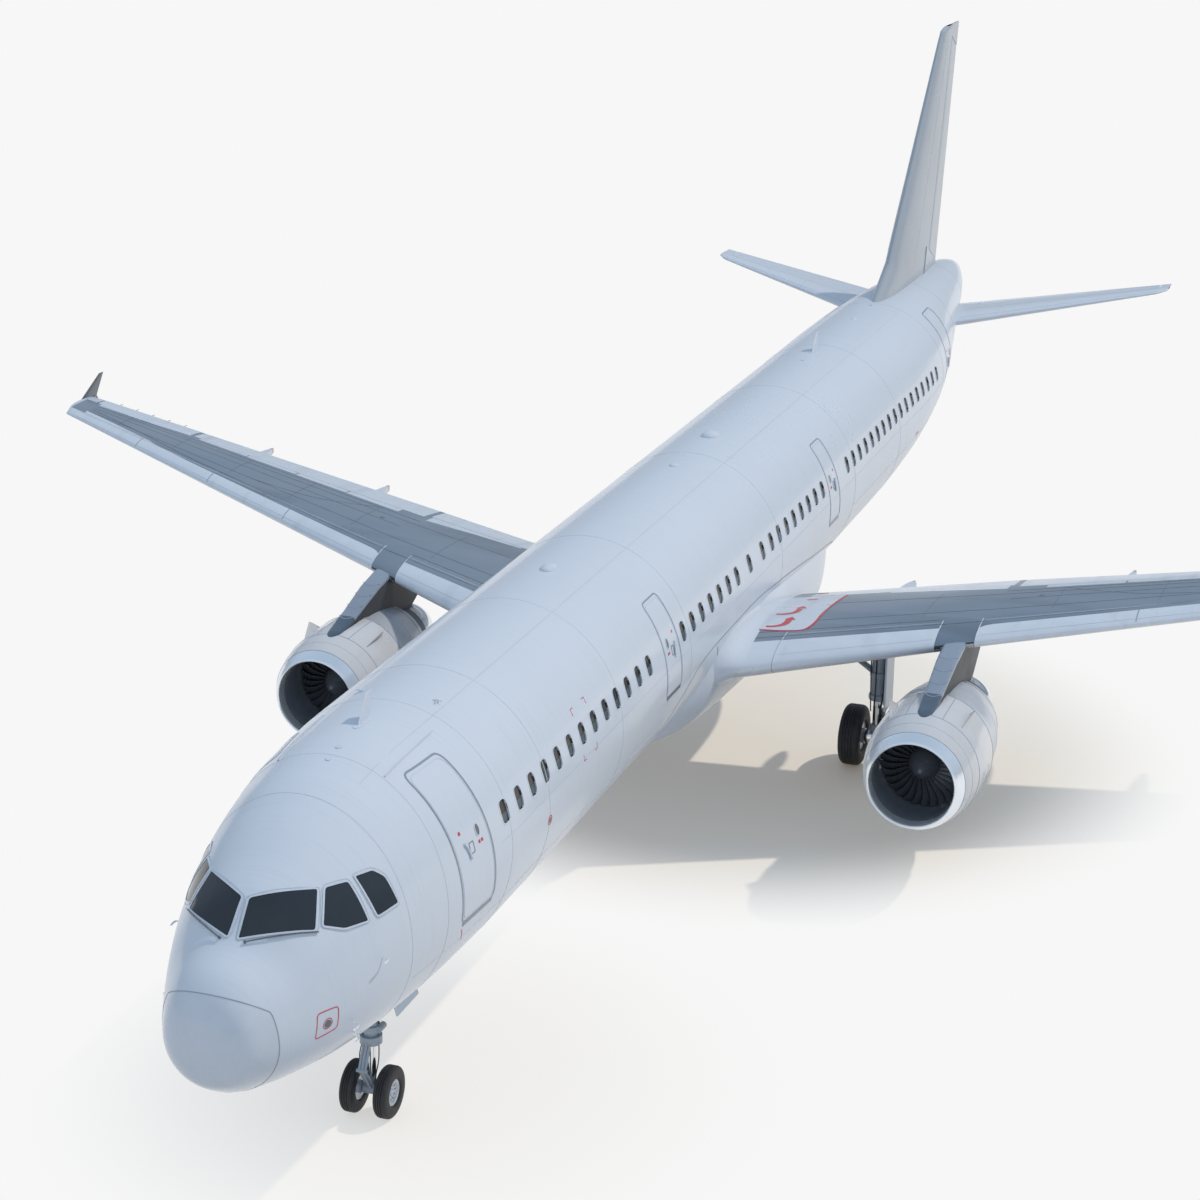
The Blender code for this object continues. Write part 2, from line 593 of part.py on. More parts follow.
# Wings, one side after the other
wing_clear = {}
for side_name, side in SIDES:
    first_span, last_span = WING[0][0], WING[-1][0]
    wing = loft(
        side_name + "_wing", [wing_ring(span, 0.0, 1.0, side) for span in spans_of(first_span, last_span)],
        "wing_grey",
    )
    for slat_name, slat_in, slat_out in SLATS:
        cut(wing, bay(f"{side_name}_{slat_name}_bay", slat_in - GAP, slat_out + GAP, 0, side, slat=True))
        rings = []
        for span in spans_of(slat_in, slat_out):
            upper = [wing_point(span, u, True, side) for u in (SLAT_TOP, 0.12, 0.05, 0.012)]
            lower = [wing_point(span, u, False, side) for u in (0.0, 0.012, 0.05, SLAT_BOTTOM)]
            rings.append(upper + lower)
        loft(f"{side_name}_{slat_name}", rings, "light_grey")
    flaps = []
    for flap_name, flap_in, flap_out, front in FLAPS:
        cut(wing, bay(f"{side_name}_{flap_name}_bay", flap_in - GAP, flap_out + GAP, front, side))
        rings = [wing_ring(span, front + 0.004, 1.0, side) for span in spans_of(flap_in, flap_out)]
        flaps.append(loft(f"{side_name}_{flap_name}", rings, "light_grey"))
    # Aileron about a straight hinge, with the wing cut back to clear its round nose
    rings, walls, hinges = [], [], []
    for span in AILERON:
        upper, lower = wing_point(span, AILERON_HINGE, True), wing_point(span, AILERON_HINGE, False)
        tail_up, tail_low = wing_point(span, 1.0, True), wing_point(span, 1.0, False)
        radius = (upper[2] - lower[2]) / 2
        middle = (upper[1], (upper[2] + lower[2]) / 2)
        tail = ((tail_up[1] + tail_low[1]) / 2, (tail_up[2] + tail_low[2]) / 2)
        rings.append(nosed_ring(
            middle, radius, tail, (tail_up[2] - tail_low[2]) / 2 + 0.004,
            lambda station, offset, span=span: (side * span, station, offset),
        ))
        hinges.append(((side * span, *middle), radius))
        front = middle[0] - radius - 1.5 * RUN
        walls.append((side * (span + (-1.4 * RUN if span == AILERON[0] else 2.6 * RUN)), front, middle[1]))
    aileron = loft(side_name + "_aileron", rings, "light_grey", origin=hinges[0][0])
    hang(pivot(side_name + "_aileron_axis", hinges[0][0]), aileron)
    block = [[(x, s, z - 1), (x, s + 2, z - 1), (x, s + 2, z + 1), (x, s, z + 1)] for x, s, z in walls]
    cut(wing, loft(side_name + "_aileron_bay", block, helper=True))
    for label, (at, radius), (toward, _), back in (("inner", *hinges, 0.07), ("outer", *reversed(hinges), 0.14)):
        hinge_pin(f"{side_name}_aileron_{label}_pin", at, toward, 0.36 * radius, back, 0.10, wing, aileron)
    # Flap track fairings: the inner one hangs under the inboard flap, the others under the wing
    for number, (span, start, length, depth) in enumerate(TRACKS):
        seat = wing_point(span, start, False)
        rows = ((0.0, 0.03, 0.05), (0.25, 0.13, 0.55), (0.55, 0.15, 0.9), (0.80, 0.11, 0.75), (1.0, 0.02, 0.25))
        rings = []
        for share, half, drop in rows:
            station = seat[1] + share * length
            top = seat[2] + 0.06 - 0.10 * share
            low = top - 0.06 - depth * drop * (1.0 - 0.35 * share)
            chop = [(half, top), (half, (top + low) / 2), (0.5 * half, low), (-0.5 * half, low),
                    (-half, (top + low) / 2), (-half, top)]
            rings.append([(side * span + x, station, z) for x, z in chop])
        join(flaps[0] if number == 0 else wing, loft(f"{side_name}_track_{number}", rings, helper=True))
    # Jacking pad under the wing
    pad = wing_point(*WING_PAD, False)
    join(wing, rod(f"{side_name}_pad", (side * pad[0], pad[1], pad[2] - 0.06), (side * pad[0], pad[1], pad[2] + 0.1),
                   PAD_RADIUS, helper=True))
    cut(wing, fuselage_clear, fairing_clear)
    wing_clear[side] = loft(
        side_name + "_wing_clear", [wing_ring(row[0], 0.0, 1.0, side, lift=2 * GAP) for row in WING], helper=True,
    )
    # Wingtip fence
    rings = []
    for height, lead, trail, half in FENCE:
        centre = side * (FENCE_X + 0.06 * max(0.0, height - FENCE[1][0]))
        mid = lead + 0.35 * (trail - lead)
        rings.append([
            (centre, lead, height), (centre + half, mid, height), (centre + half / 3, trail, height),
            (centre - half / 3, trail, height), (centre - half, mid, height),
        ])
    loft(side_name + "_wingtip_fence", rings, "dark_grey")


# Fin and rudder; the rudder's ends stand square to its raked hinge line
def fin_ring(row, share_to):
    height, lead, hinge, trail, half = row
    ring = []
    for share, width in ((0.0, 0.04), (0.03, 0.38), (0.12, 0.72), (0.35, 1.0), (0.70, 0.92), (1.0, 0.74)):
        ring.append((half * width, lead + (share_to - lead) * share, height))
    return ring + [(-x, s, z) for x, s, z in reversed(ring)]


hinge_low = between(FIN, RUDDER_LOW)
hinge_high = between(FIN, RUDDER_HIGH)
rake = (hinge_high[2] - hinge_low[2]) / (RUDDER_HIGH - RUDDER_LOW)


def square_end(height):
    """The hinge and trailing edge stations on the plane that crosses the hinge line at this height."""
    _, _, hinge, trail, half = between(FIN, height)
    for _ in range(6):
        trail = between(FIN, height - (trail - hinge) * rake)[3]
    return hinge, trail, half


fin = loft("fin", [fin_ring(row, row[2] - row[4] * 0.74 - 1.6 * RUN) for row in FIN], "white_paint")
cut(fin, fuselage_clear)
for label, height, flat in (
    ("cap", RUDDER_HIGH + 1.5 * RUN, FIN[-1][0]), ("foot", RUDDER_LOW - 1.5 * RUN, FIN[0][0]),
):
    rings = []
    for level, tilt in ((height, rake), (flat, 0.0)):
        hinge, trail, half = square_end(level) if tilt else between(FIN, level)[2:]
        ring = [(0.85 * half, hinge - 0.5), (0.70 * half, hinge), (0.02, trail)]
        ring = [(x, s, level - (s - hinge) * tilt) for x, s in ring]
        rings.append(ring + [(-x, s, z) for x, s, z in reversed(ring)])
    join(fin, loft("fin_" + label, rings, helper=True))
cut(fin, fuselage_loft("tail_clear", 34.0, LENGTH - 0.02, grow=2 * GAP, helper=True))
rings = []
for height in (RUDDER_LOW, RUDDER_HIGH):
    hinge, trail, half = square_end(height)
    rings.append(nosed_ring(
        (hinge, 0.0), half * 0.70, (trail, 0.0), 0.012,
        lambda station, offset, z=height, h=hinge: (offset, station, z - (station - h) * rake),
    ))
low_point, high_point = (0.0, hinge_low[2], RUDDER_LOW), (0.0, hinge_high[2], RUDDER_HIGH)
rudder = loft("rudder", rings, "white_paint", origin=low_point)
hang(pivot("rudder_axis", low_point), rudder)
hinge_pin("rudder_low_pin", low_point, high_point, 0.04, 0.12, 0.14, fin, rudder)
hinge_pin("rudder_high_pin", high_point, low_point, 0.025, 0.10, 0.12, fin, rudder)

# Stabilizers and elevators
for side_name, side in SIDES:
    rings = []
    for span, lead, hinge, trail, height, half in STABILIZER:
        back = hinge - 0.66 * half - 1.6 * RUN
        ring = []
        for share, width in ((0.0, 0.05), (0.03, 0.38), (0.12, 0.72), (0.35, 1.0), (0.70, 0.86), (1.0, 0.66)):
            ring.append((side * span, lead + (back - lead) * share, height + half * width))
        ring += [(x, s, 2 * height - z) for x, s, z in reversed(ring)]
        rings.append(ring)
    stabilizer = loft(side_name + "_stabilizer", rings, "white_paint")
    for label, spans in (
        ("tip", (ELEVATOR[1] + 3.0 * RUN, STABILIZER[-1][0])), ("root", (STABILIZER[0][0], ELEVATOR[0] - 3.0 * RUN)),
    ):
        rings = []
        for span in spans:
            _, lead, hinge, trail, height, half = between(STABILIZER, span)
            start = lead + 0.5 * (hinge - lead)
            ring = [(side * span, start, height + 0.8 * half), (side * span, hinge, height + 0.6 * half),
                    (side * span, trail, height + 0.01)]
            rings.append(ring + [(x, s, 2 * height - z) for x, s, z in reversed(ring)])
        join(stabilizer, loft(f"{side_name}_stabilizer_{label}", rings, helper=True))
    cut(stabilizer, fuselage_clear)
    rings, hinges = [], []
    for span in ELEVATOR:
        _, lead, hinge, trail, height, half = between(STABILIZER, span)
        rings.append(nosed_ring(
            (hinge, height), half * 0.62, (trail, height), 0.010,
            lambda station, offset, x=side * span: (x, station, offset),
        ))
        hinges.append(((side * span, hinge, height), half * 0.62))
    elevator = loft(side_name + "_elevator", rings, "white_paint", origin=hinges[0][0])
    hang(pivot(side_name + "_elevator_axis", hinges[0][0]), elevator)
    for label, (at, radius), (toward, _) in (("inner", *hinges), ("outer", *reversed(hinges))):
        hinge_pin(f"{side_name}_elevator_{label}_pin", at, toward, 0.36 * radius, 0.14, 0.10, stabilizer, elevator)


# Engines
def outline(rows, first, last):
    inner = [row for row in rows if first < row[0] < last]
    return [between(rows, first) if first > rows[0][0] else rows[0], *inner,
            between(rows, last) if last < rows[-1][0] else rows[-1]]


def pylon_ring(row, x, grow=0.0):
    station, low, high, half = row
    corner = min(0.06, half * 0.6)
    ring = [
        (half + grow, low - grow), (half + grow, high - corner), (half - corner + grow, high + grow),
        (-half + corner - grow, high + grow), (-half - grow, high - corner), (-half - grow, low - grow),
    ]
    return [(x + dx, station, z) for dx, z in ring]


for side_name, side in SIDES:
    centre = (side * ENGINE_X, LIP_S, ENGINE_Z)
    shell = {}
    for piece, first, last, finish in (
        ("intake_lip", 0.0, LIP_SEAM, "bright_metal"),
        ("fan_cowl", LIP_SEAM + GAP, COWL_SEAM, "light_grey"),
        ("fan_nozzle", COWL_SEAM + GAP, NOZZLE_END, "nozzle_grey"),
    ):
        outer = outline(NACELLE_OUTER, first, last)
        inner = outline(NACELLE_INNER, first, last)
        loop = outer + list(reversed(inner[1:] if first == 0.0 else inner))
        shell[piece] = turned(f"{side_name}_{piece}", loop, centre, "s", finish, steps=32)
    core_loop = [(CORE[0][0], 0.0), *CORE, (CORE[-1][0], 0.0)]
    core = turned(f"{side_name}_engine_core", core_loop, centre, "s", "nozzle_metal", steps=24)
    shaft_end = FAN_S + FAN_DEPTH * 0.45
    join(core, rod(f"{side_name}_fan_shaft", (centre[0], LIP_S + shaft_end, ENGINE_Z),
                   (centre[0], LIP_S + CORE[0][0] + 0.1, ENGINE_Z), FAN_SHAFT, helper=True))
    # Fan: spinner and hub with blades, turning on the shaft
    fan_bore, bore_end = bore_radius(FAN_SHAFT, 24), FAN_S + FAN_DEPTH * 0.40
    spin = [
        (FAN_S - SPINNER, 0.0), (FAN_S - SPINNER + 0.02, 0.05), (FAN_S - 0.2, 0.16), (FAN_S - 0.08, 0.235),
        (FAN_S, FAN_HUB - 0.01), (FAN_S + FAN_DEPTH, FAN_HUB + 0.04),
        (FAN_S + FAN_DEPTH, fan_bore), (bore_end, fan_bore), (bore_end, 0.0),
    ]
    fan = turned(f"{side_name}_fan", spin, centre, "s", "fan_dark", steps=24)
    hang(pivot(f"{side_name}_fan_axis", (centre[0], LIP_S + FAN_S, ENGINE_Z)), fan)
    for k in range(FAN_BLADES):
        angle = 2 * math.pi * k / FAN_BLADES
        outward = Vector((math.cos(angle), 0.0, math.sin(angle)))
        around = Vector((-math.sin(angle), 0.0, math.cos(angle)))
        hub = Vector((centre[0], LIP_S + FAN_S + FAN_DEPTH / 2, ENGINE_Z))
        rings = []
        for radius, size in ((FAN_HUB - 0.08, 0.8), (FAN_RADIUS, 1.0)):
            ring = []
            for along, across in ((-1, -1), (1, -1), (1, 1), (-1, 1)):
                u, v = along * size * BLADE_CHORD / 2, across * size * BLADE_THICK / 2
                s = u * math.cos(BLADE_LEAN) - v * math.sin(BLADE_LEAN)
                t = u * math.sin(BLADE_LEAN) + v * math.cos(BLADE_LEAN)
                ring.append(hub + outward * radius + around * t + Vector((0.0, s, 0.0)))
            rings.append(ring)
        join(fan, loft(f"{side_name}_blade_{k}", rings, helper=True))
    # Pylon, let into the nacelle and the core, and cut to the wing above it
    pylon = loft(f"{side_name}_pylon", [pylon_ring(row, centre[0]) for row in PYLON], "light_grey")
    ends = [(PYLON[0][0] - 2 * GAP, *PYLON[0][1:]), *PYLON[1:-1], (PYLON[-1][0] + 2 * GAP, *PYLON[-1][1:])]
    slot = loft(f"{side_name}_pylon_clear", [pylon_ring(row, centre[0], GAP) for row in ends], helper=True)
    cut(shell["fan_cowl"], slot)
    cut(shell["fan_nozzle"], slot)
    cut(core, slot)
    cut(pylon, wing_clear[side])
    # Strakes on the cowl's shoulders
    for number, tilt in enumerate(STRAKE_ANGLES):
        angle = math.radians(tilt)
        out = Vector((math.cos(angle), 0, math.sin(angle)))
        flat = Vector((-math.sin(angle), 0, math.cos(angle))) * 0.01
        faces = []
        for sign in (-1, 1):
            faces.append([Vector((centre[0], LIP_S + s, ENGINE_Z)) + out * r + flat * sign for s, r in STRAKE])
        join(shell["fan_cowl"], loft(f"{side_name}_strake_{number}", faces, helper=True))


# Landing gear
def tyre_profile(radius, width, rim):
    half = width / 2
    shape = [(-0.72, 0.0), (-1.0, 0.25), (-0.97, 0.62), (-0.74, 0.93), (-0.40, 1.0)]
    left = [(half * a, rim + (radius - rim) * r) for a, r in shape]
    return left + [(-a, r) for a, r in reversed(left)]


def wheel_pair(prefix, centre, radius, width, track, rim, axle, inner, carrier=None):
    """Two tyres, and a pair of hubs on the axle that turns with them."""
    spin_axis = pivot(f"{prefix}_wheels_axis", centre, carrier)
    for label, offset in (("left", track), ("right", -track)):
        hang(spin_axis, turned(
            f"{prefix}_{label}_tyre", tyre_profile(radius, width, rim + GAP),
            (centre[0] + offset, centre[1], centre[2]), "x", "tyre_black", steps=24,
        ))
    half, dish = width * 0.36, width * 0.17
    loop = [
        (-track - dish, 0.0), (-track - dish, 0.45 * rim), (-track - half, 0.62 * rim), (-track - half, rim),
        (-track + half, rim), (-track + half, 0.5 * rim), (-inner, 0.5 * rim), (-inner, axle),
        (inner, axle), (inner, 0.5 * rim), (track - half, 0.5 * rim), (track - half, rim),
        (track + half, rim), (track + half, 0.62 * rim), (track + dish, 0.45 * rim), (track + dish, 0.0),
    ]
    hang(spin_axis, turned(f"{prefix}_hubs", loop, centre, "x", "light_grey", steps=24))


nose_centre = (0.0, NOSE_S, NOSE_AXLE_Z)
steer_axis = pivot("nose_steer_axis", nose_centre)
wheel_pair("nose", nose_centre, NOSE_TYRE_R, NOSE_TYRE_W, NOSE_TRACK, 0.206, NOSE_AXLE, NOSE_SLEEVE + RUN, steer_axis)
leg = rod("nose_leg", (0, NOSE_S, 1.19), (0, NOSE_S, bay_top - GAP), 0.115, "gear_paint", sides=24)
join(leg, rod("nose_trunnion", (-bay_half + GAP, NOSE_S, 2.52), (bay_half - GAP, NOSE_S, 2.52), 0.08, helper=True))
join(leg, rod("nose_stay", (0, NOSE_S + 0.05, 1.67), (0, bay_last - GAP - 0.12, 2.62), 0.05, helper=True, sides=12))
cut(leg, rod("nose_leg_bore", (0, NOSE_S, 1.0), (0, NOSE_S, 1.80), bore_radius(NOSE_PISTON, 24), helper=True, sides=24))
fork = rod("nose_fork", (0, NOSE_S, NOSE_AXLE_Z), (0, NOSE_S, 1.65), NOSE_PISTON, "bright_metal", sides=24)
join(fork, rod("nose_sleeve", (-NOSE_SLEEVE, NOSE_S, NOSE_AXLE_Z), (NOSE_SLEEVE, NOSE_S, NOSE_AXLE_Z), 0.085,
               helper=True, sides=20))
collar = turned("nose_collar", [(0.0, 0.128), (0.0, 0.175), (0.13, 0.175), (0.13, 0.128)], (0, NOSE_S, 1.22), "z",
                helper=True, steps=24)
join(fork, collar)
elbow = (0, NOSE_S - 0.34, 0.89)
join(fork, rod("nose_link_low", (0, NOSE_S - 0.05, 0.46), elbow, 0.030, helper=True, sides=10))
join(fork, rod("nose_link_high", (0, elbow[1] + 0.005, elbow[2] - 0.01), (0, NOSE_S - 0.15, 1.28), 0.030,
               helper=True, sides=10))
cut(fork, rod("nose_axle_bore", (-0.4, NOSE_S, NOSE_AXLE_Z), (0.4, NOSE_S, NOSE_AXLE_Z),
              bore_radius(NOSE_AXLE, 32), helper=True, sides=32))
hang(steer_axis, fork)

for side_name, side in SIDES:
    x = side * MAIN_X
    centre = (x, MAIN_S, MAIN_AXLE_Z)
    wheel_pair(f"{side_name}_main", centre, MAIN_TYRE_R, MAIN_TYRE_W, MAIN_TRACK, 0.31, MAIN_AXLE, MAIN_SLEEVE + RUN)
    foot, head = (x, MAIN_S, MAIN_LEG_LOW), (x, MAIN_S, MAIN_LEG_HIGH)
    leg = rod(f"{side_name}_main_leg", foot, head, MAIN_LEG, "gear_paint", sides=24)
    join(leg, rod(f"{side_name}_pintle", (x, MAIN_S - 0.55, 3.08), (x, MAIN_S + 0.14, 3.08), 0.13, helper=True))
    elbow = (x, MAIN_S + 0.42, 1.22)
    join(leg, rod(f"{side_name}_link_high", (x, MAIN_S + 0.10, 1.63), elbow, 0.045, helper=True, sides=10))
    cut(leg, wing_clear[side])
    oleo = rod(f"{side_name}_oleo", centre, (x, MAIN_S, MAIN_LEG_LOW - GAP), 0.095, "bright_metal", sides=24)
    join(oleo, rod(f"{side_name}_sleeve", (x - MAIN_SLEEVE, MAIN_S, MAIN_AXLE_Z), (x + MAIN_SLEEVE, MAIN_S, MAIN_AXLE_Z),
                   0.14, helper=True, sides=20))
    join(oleo, rod(f"{side_name}_link_low", (x, MAIN_S + 0.08, 0.72), (x, elbow[1] - 0.02, elbow[2] - 0.10), 0.045,
                   helper=True, sides=10))
    cut(oleo, rod(f"{side_name}_axle_bore", (x - 0.6, MAIN_S, MAIN_AXLE_Z), (x + 0.6, MAIN_S, MAIN_AXLE_Z),
                  bore_radius(MAIN_AXLE, 32), helper=True, sides=32))
    stay = rod(f"{side_name}_side_stay", (x - side * 0.10, MAIN_S, 2.04), (side * 1.9, MAIN_S - 0.05, 3.35), 0.055,
               "gear_paint", sides=12)
    leg_clear = rod(f"{side_name}_leg_clear", foot, head, MAIN_LEG + 2 * GAP, helper=True, sides=24)
    cut(stay, fuselage_clear, fairing_clear, wing_clear[side], leg_clear)
    door_x = x + side * 0.25
    door = box(f"{side_name}_leg_door", (door_x - 0.02, MAIN_S - 0.50, 1.40), (door_x + 0.02, MAIN_S + 0.14, 3.40),
               "white_paint")
    join(door, rod(f"{side_name}_door_link", (x + side * 0.15, MAIN_S, 2.27), (door_x, MAIN_S, 2.27), 0.03,
                   helper=True, sides=8))
    cut(door, wing_clear[side])
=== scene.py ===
import math

import bmesh
import bpy
from mathutils import Matrix, Vector


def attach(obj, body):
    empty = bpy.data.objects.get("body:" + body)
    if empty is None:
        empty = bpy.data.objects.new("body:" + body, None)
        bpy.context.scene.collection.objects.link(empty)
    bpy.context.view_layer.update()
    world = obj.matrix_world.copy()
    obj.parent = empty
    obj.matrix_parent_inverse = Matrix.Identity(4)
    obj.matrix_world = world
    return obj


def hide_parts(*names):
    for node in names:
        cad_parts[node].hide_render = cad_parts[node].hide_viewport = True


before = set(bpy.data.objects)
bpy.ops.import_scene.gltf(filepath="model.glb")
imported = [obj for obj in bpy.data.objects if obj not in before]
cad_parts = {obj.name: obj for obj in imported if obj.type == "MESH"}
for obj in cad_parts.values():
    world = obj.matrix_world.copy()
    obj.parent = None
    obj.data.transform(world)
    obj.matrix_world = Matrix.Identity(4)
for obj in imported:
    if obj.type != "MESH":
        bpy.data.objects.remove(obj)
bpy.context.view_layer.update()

SCALE = 0.5
LENGTH = 44.51
GAP = 0.0006
RUN = 0.012
SIDES = (("left", 1), ("right", -1))

# Fuselage, as in the source: station, top and bottom, half width, widest height from the axis
AXIS_Z = 4.3915
TUBE_HALF_WIDTH, TUBE_HALF_HEIGHT = 1.985, 2.08
FUSELAGE = (
    (0.00, -0.62, -0.74, 0.06, -0.68), (0.02, -0.50, -0.98, 0.26, -0.70), (0.08, -0.26, -1.22, 0.50, -0.72),
    (0.20, 0.02, -1.34, 0.67, -0.70), (0.45, 0.27, -1.49, 0.83, -0.69), (0.90, 0.48, -1.61, 1.06, -0.67),
    (1.40, 0.96, -1.70, 1.27, -0.62), (1.90, 1.24, -1.79, 1.44, -0.52), (2.60, 1.60, -1.90, 1.60, -0.37),
    (3.50, 1.90, -2.00, 1.74, -0.23), (4.80, 2.06, -2.07, 1.89, -0.10), (6.40, 2.08, -2.08, 1.985, 0.0),
    (29.0, 2.08, -2.08, 1.985, 0.0), (31.0, 2.08, -2.04, 1.985, 0.02), (33.0, 2.07, -1.87, 1.985, 0.10),
    (35.0, 2.05, -1.56, 1.92, 0.245), (37.0, 2.04, -1.10, 1.72, 0.47), (39.0, 1.99, -0.56, 1.39, 0.715),
    (41.0, 1.88, 0.00, 1.06, 0.94), (43.0, 1.72, 0.55, 0.72, 1.135), (44.0, 1.60, 0.83, 0.46, 1.215),
    (44.51, 1.49, 0.97, 0.30, 1.23),
)
SEAM_TAIL = 42.0
EXHAUST_RADIUS = 0.17
SEAM_S, SEAM_Z, SEAM_LEAN = 0.52, 4.19, 1.116
RING_STEPS = 128

# Cargo doors on the starboard side
CARGO_DOORS = (("forward_cargo_door", 8.20, 10.02), ("aft_cargo_door", 28.19, 30.01))
CARGO_LOW, CARGO_HIGH = math.radians(36), math.radians(72)
CARGO_THICK, HOLD_DEPTH = 0.12, 0.95
KNUCKLE_RADIUS, KNUCKLE_HALF, HINGE_OUT = 0.045, 0.05, 0.01

# Belly fairing, slimmer towards its front end than in the source: station, top, bottom, half width
FAIRING = (
    (14.30, 3.35, 2.34, 0.50), (14.90, 3.80, 2.27, 1.15), (15.6, 4.04, 2.18, 1.62), (16.6, 4.13, 2.08, 1.90),
    (19.4, 4.14, 1.93, 2.04), (21.4, 3.92, 1.90, 2.08), (23.4, 3.66, 1.95, 2.00), (25.0, 3.45, 2.06, 1.72),
    (26.4, 2.95, 2.26, 0.80),
)
FAIRING_SECTION = ((0.45, 0.03), (0.70, 0.12), (0.88, 0.30), (0.98, 0.52))
FAIRING_SEAM = (
    (13.80, 3.20), (13.98, 3.37), (14.25, 3.57), (14.52, 3.75), (14.93, 3.95), (15.35, 4.08), (16.23, 4.16),
    (17.47, 4.18), (19.03, 4.18), (20.4, 4.06), (21.67, 3.93), (23.4, 3.68), (25.39, 3.38), (26.3, 3.05),
)
FILLET, FILLET_SINK = 0.42, 0.03

# Wing: span position, leading edge station and height, chord, thickness, twist in degrees
WING = (
    (0.80, 16.00, 3.372, 5.98, 0.150, 2.9),
    (1.985, 16.643, 3.469, 5.53, 0.145, 2.6),
    (6.367, 19.01, 3.828, 4.03, 0.120, 0.5),
    (16.63, 24.55, 4.668, 1.33, 0.110, -3.0),
    (16.755, 24.92, 4.70, 0.99, 0.110, -2.0),
)
CAMBER = 0.012
SHARES = (
    0.0, 0.002, 0.006, 0.012, 0.022, 0.035, 0.05, 0.07, 0.09, 0.12, 0.15, 0.19, 0.23, 0.28, 0.33, 0.38, 0.44,
    0.50, 0.56, 0.62, 0.66, 0.70, 0.74, 0.80, 0.86, 0.93, 1.0,
)
SLAT_TOP, SLAT_BOTTOM = 0.19, 0.09
SLATS = (("inboard_slat", 2.80, 5.54), ("outboard_slat", 6.225, 16.375))
FLAPS = (("inboard_flap", 2.40, 6.33, 0.81), ("outboard_flap", 6.45, 13.18, 0.76))
AILERON = (13.30, 16.28)
AILERON_HINGE = 0.77
SPOILER_SHARE = 0.70
TRACKS = ((4.04, 0.86, 1.60, 0.30), (8.39, 0.42, 3.05, 0.45), (11.70, 0.36, 2.60, 0.38))
WING_PAD = (4.60, 0.30)

# Wingtip fence: height, leading and trailing edge stations, half thickness
FENCE_X = 16.791
FENCE = ((4.30, 26.22, 26.50, 0.012), (4.71, 25.42, 26.20, 0.035), (5.185, 26.42, 26.62, 0.012))

# Fin and rudder: height, leading edge, hinge and trailing edge stations, half thickness
FIN = (
    (5.90, 34.66, 40.66, 42.50, 0.27), (6.53, 35.86, 40.90, 42.64, 0.265),
    (7.13, 37.00, 41.12, 42.775, 0.25), (7.75, 37.57, 41.35, 42.915, 0.235),
    (9.39, 39.13, 41.965, 43.28, 0.19), (12.20, 41.72, 43.02, 43.91, 0.10),
    (12.46, 41.95, 43.118, 43.97, 0.085), (12.54, 42.25, 43.148, 43.985, 0.05),
)
RUDDER_LOW, RUDDER_HIGH = 6.82, 12.20
# Stabilizer and elevator: span position, leading edge, hinge and trailing edge, height, half thickness
STABILIZER = (
    (0.50, 39.28, 41.44, 42.29, 5.07, 0.165), (1.23, 39.73, 41.72, 42.50, 5.16, 0.155),
    (6.10, 42.69, 43.46, 43.82, 5.775, 0.052), (6.30, 43.00, 43.52, 43.87, 5.80, 0.03),
)
ELEVATOR = (1.45, 6.02)

# Engine: axis, lip station; outer and inner outlines as distance aft of the lip and radius
ENGINE_X, ENGINE_Z, LIP_S = 5.891, 2.216, 15.50
LIP_SEAM, COWL_SEAM, NOZZLE_END = 0.24, 1.95, 3.40
NACELLE_OUTER = (
    (0.00, 0.800), (0.03, 0.838), (0.10, 0.878), (0.24, 0.942), (0.50, 1.010), (0.86, 1.070),
    (1.30, 1.100), (1.95, 1.090), (2.12, 1.062), (2.50, 1.038), (2.80, 1.000), (3.10, 0.945), (3.40, 0.880),
)
NACELLE_INNER = (
    (0.00, 0.800), (0.02, 0.782), (0.08, 0.771), (0.24, 0.774), (0.70, 0.830), (1.05, 0.866), (1.40, 0.866),
    (1.95, 0.868), (2.60, 0.872), (3.40, 0.860),
)
FAN_S, FAN_DEPTH, FAN_RADIUS, FAN_HUB, SPINNER = 1.05, 0.24, 0.846, 0.29, 0.36
FAN_BLADES = 30
CORE = (
    (1.42, 0.40), (1.80, 0.52), (2.60, 0.62), (3.40, 0.66), (4.20, 0.65), (4.68, 0.48),
    (4.68, 0.445), (4.50, 0.445), (4.50, 0.30), (4.90, 0.16), (5.12, 0.03),
)
STRAKE_ANGLES = (52, 128)
STRAKE = ((0.85, 1.03), (1.40, 1.27), (1.50, 1.28), (1.72, 1.05))
# Pylon: station, bottom, top, half width
PYLON = (
    (16.24, 3.10, 3.275, 0.05), (16.30, 3.10, 3.305, 0.10), (16.42, 3.10, 3.335, 0.14),
    (16.72, 3.10, 3.38, 0.165), (17.02, 3.12, 3.45, 0.175), (17.20, 2.62, 3.49, 0.175),
    (18.10, 2.62, 3.74, 0.20), (18.80, 2.62, 3.85, 0.21), (19.60, 2.75, 3.84, 0.19),
    (20.60, 3.12, 3.76, 0.14), (21.60, 3.42, 3.66, 0.06),
)
PYLON_TIP_END = 17.02

# Landing gear
NOSE_S, NOSE_AXLE_Z, NOSE_TRACK = 5.187, 0.412, 0.28
NOSE_TYRE_R, NOSE_TYRE_W, NOSE_RIM = 0.412, 0.232, 0.206
NOSE_BAY = (4.84, 5.88, 0.31, 2.90)
MAIN_S, MAIN_X, MAIN_AXLE_Z, MAIN_TRACK = 21.425, 3.86, 0.628, 0.465
MAIN_TYRE_R, MAIN_TYRE_W, MAIN_RIM = 0.628, 0.443, 0.31

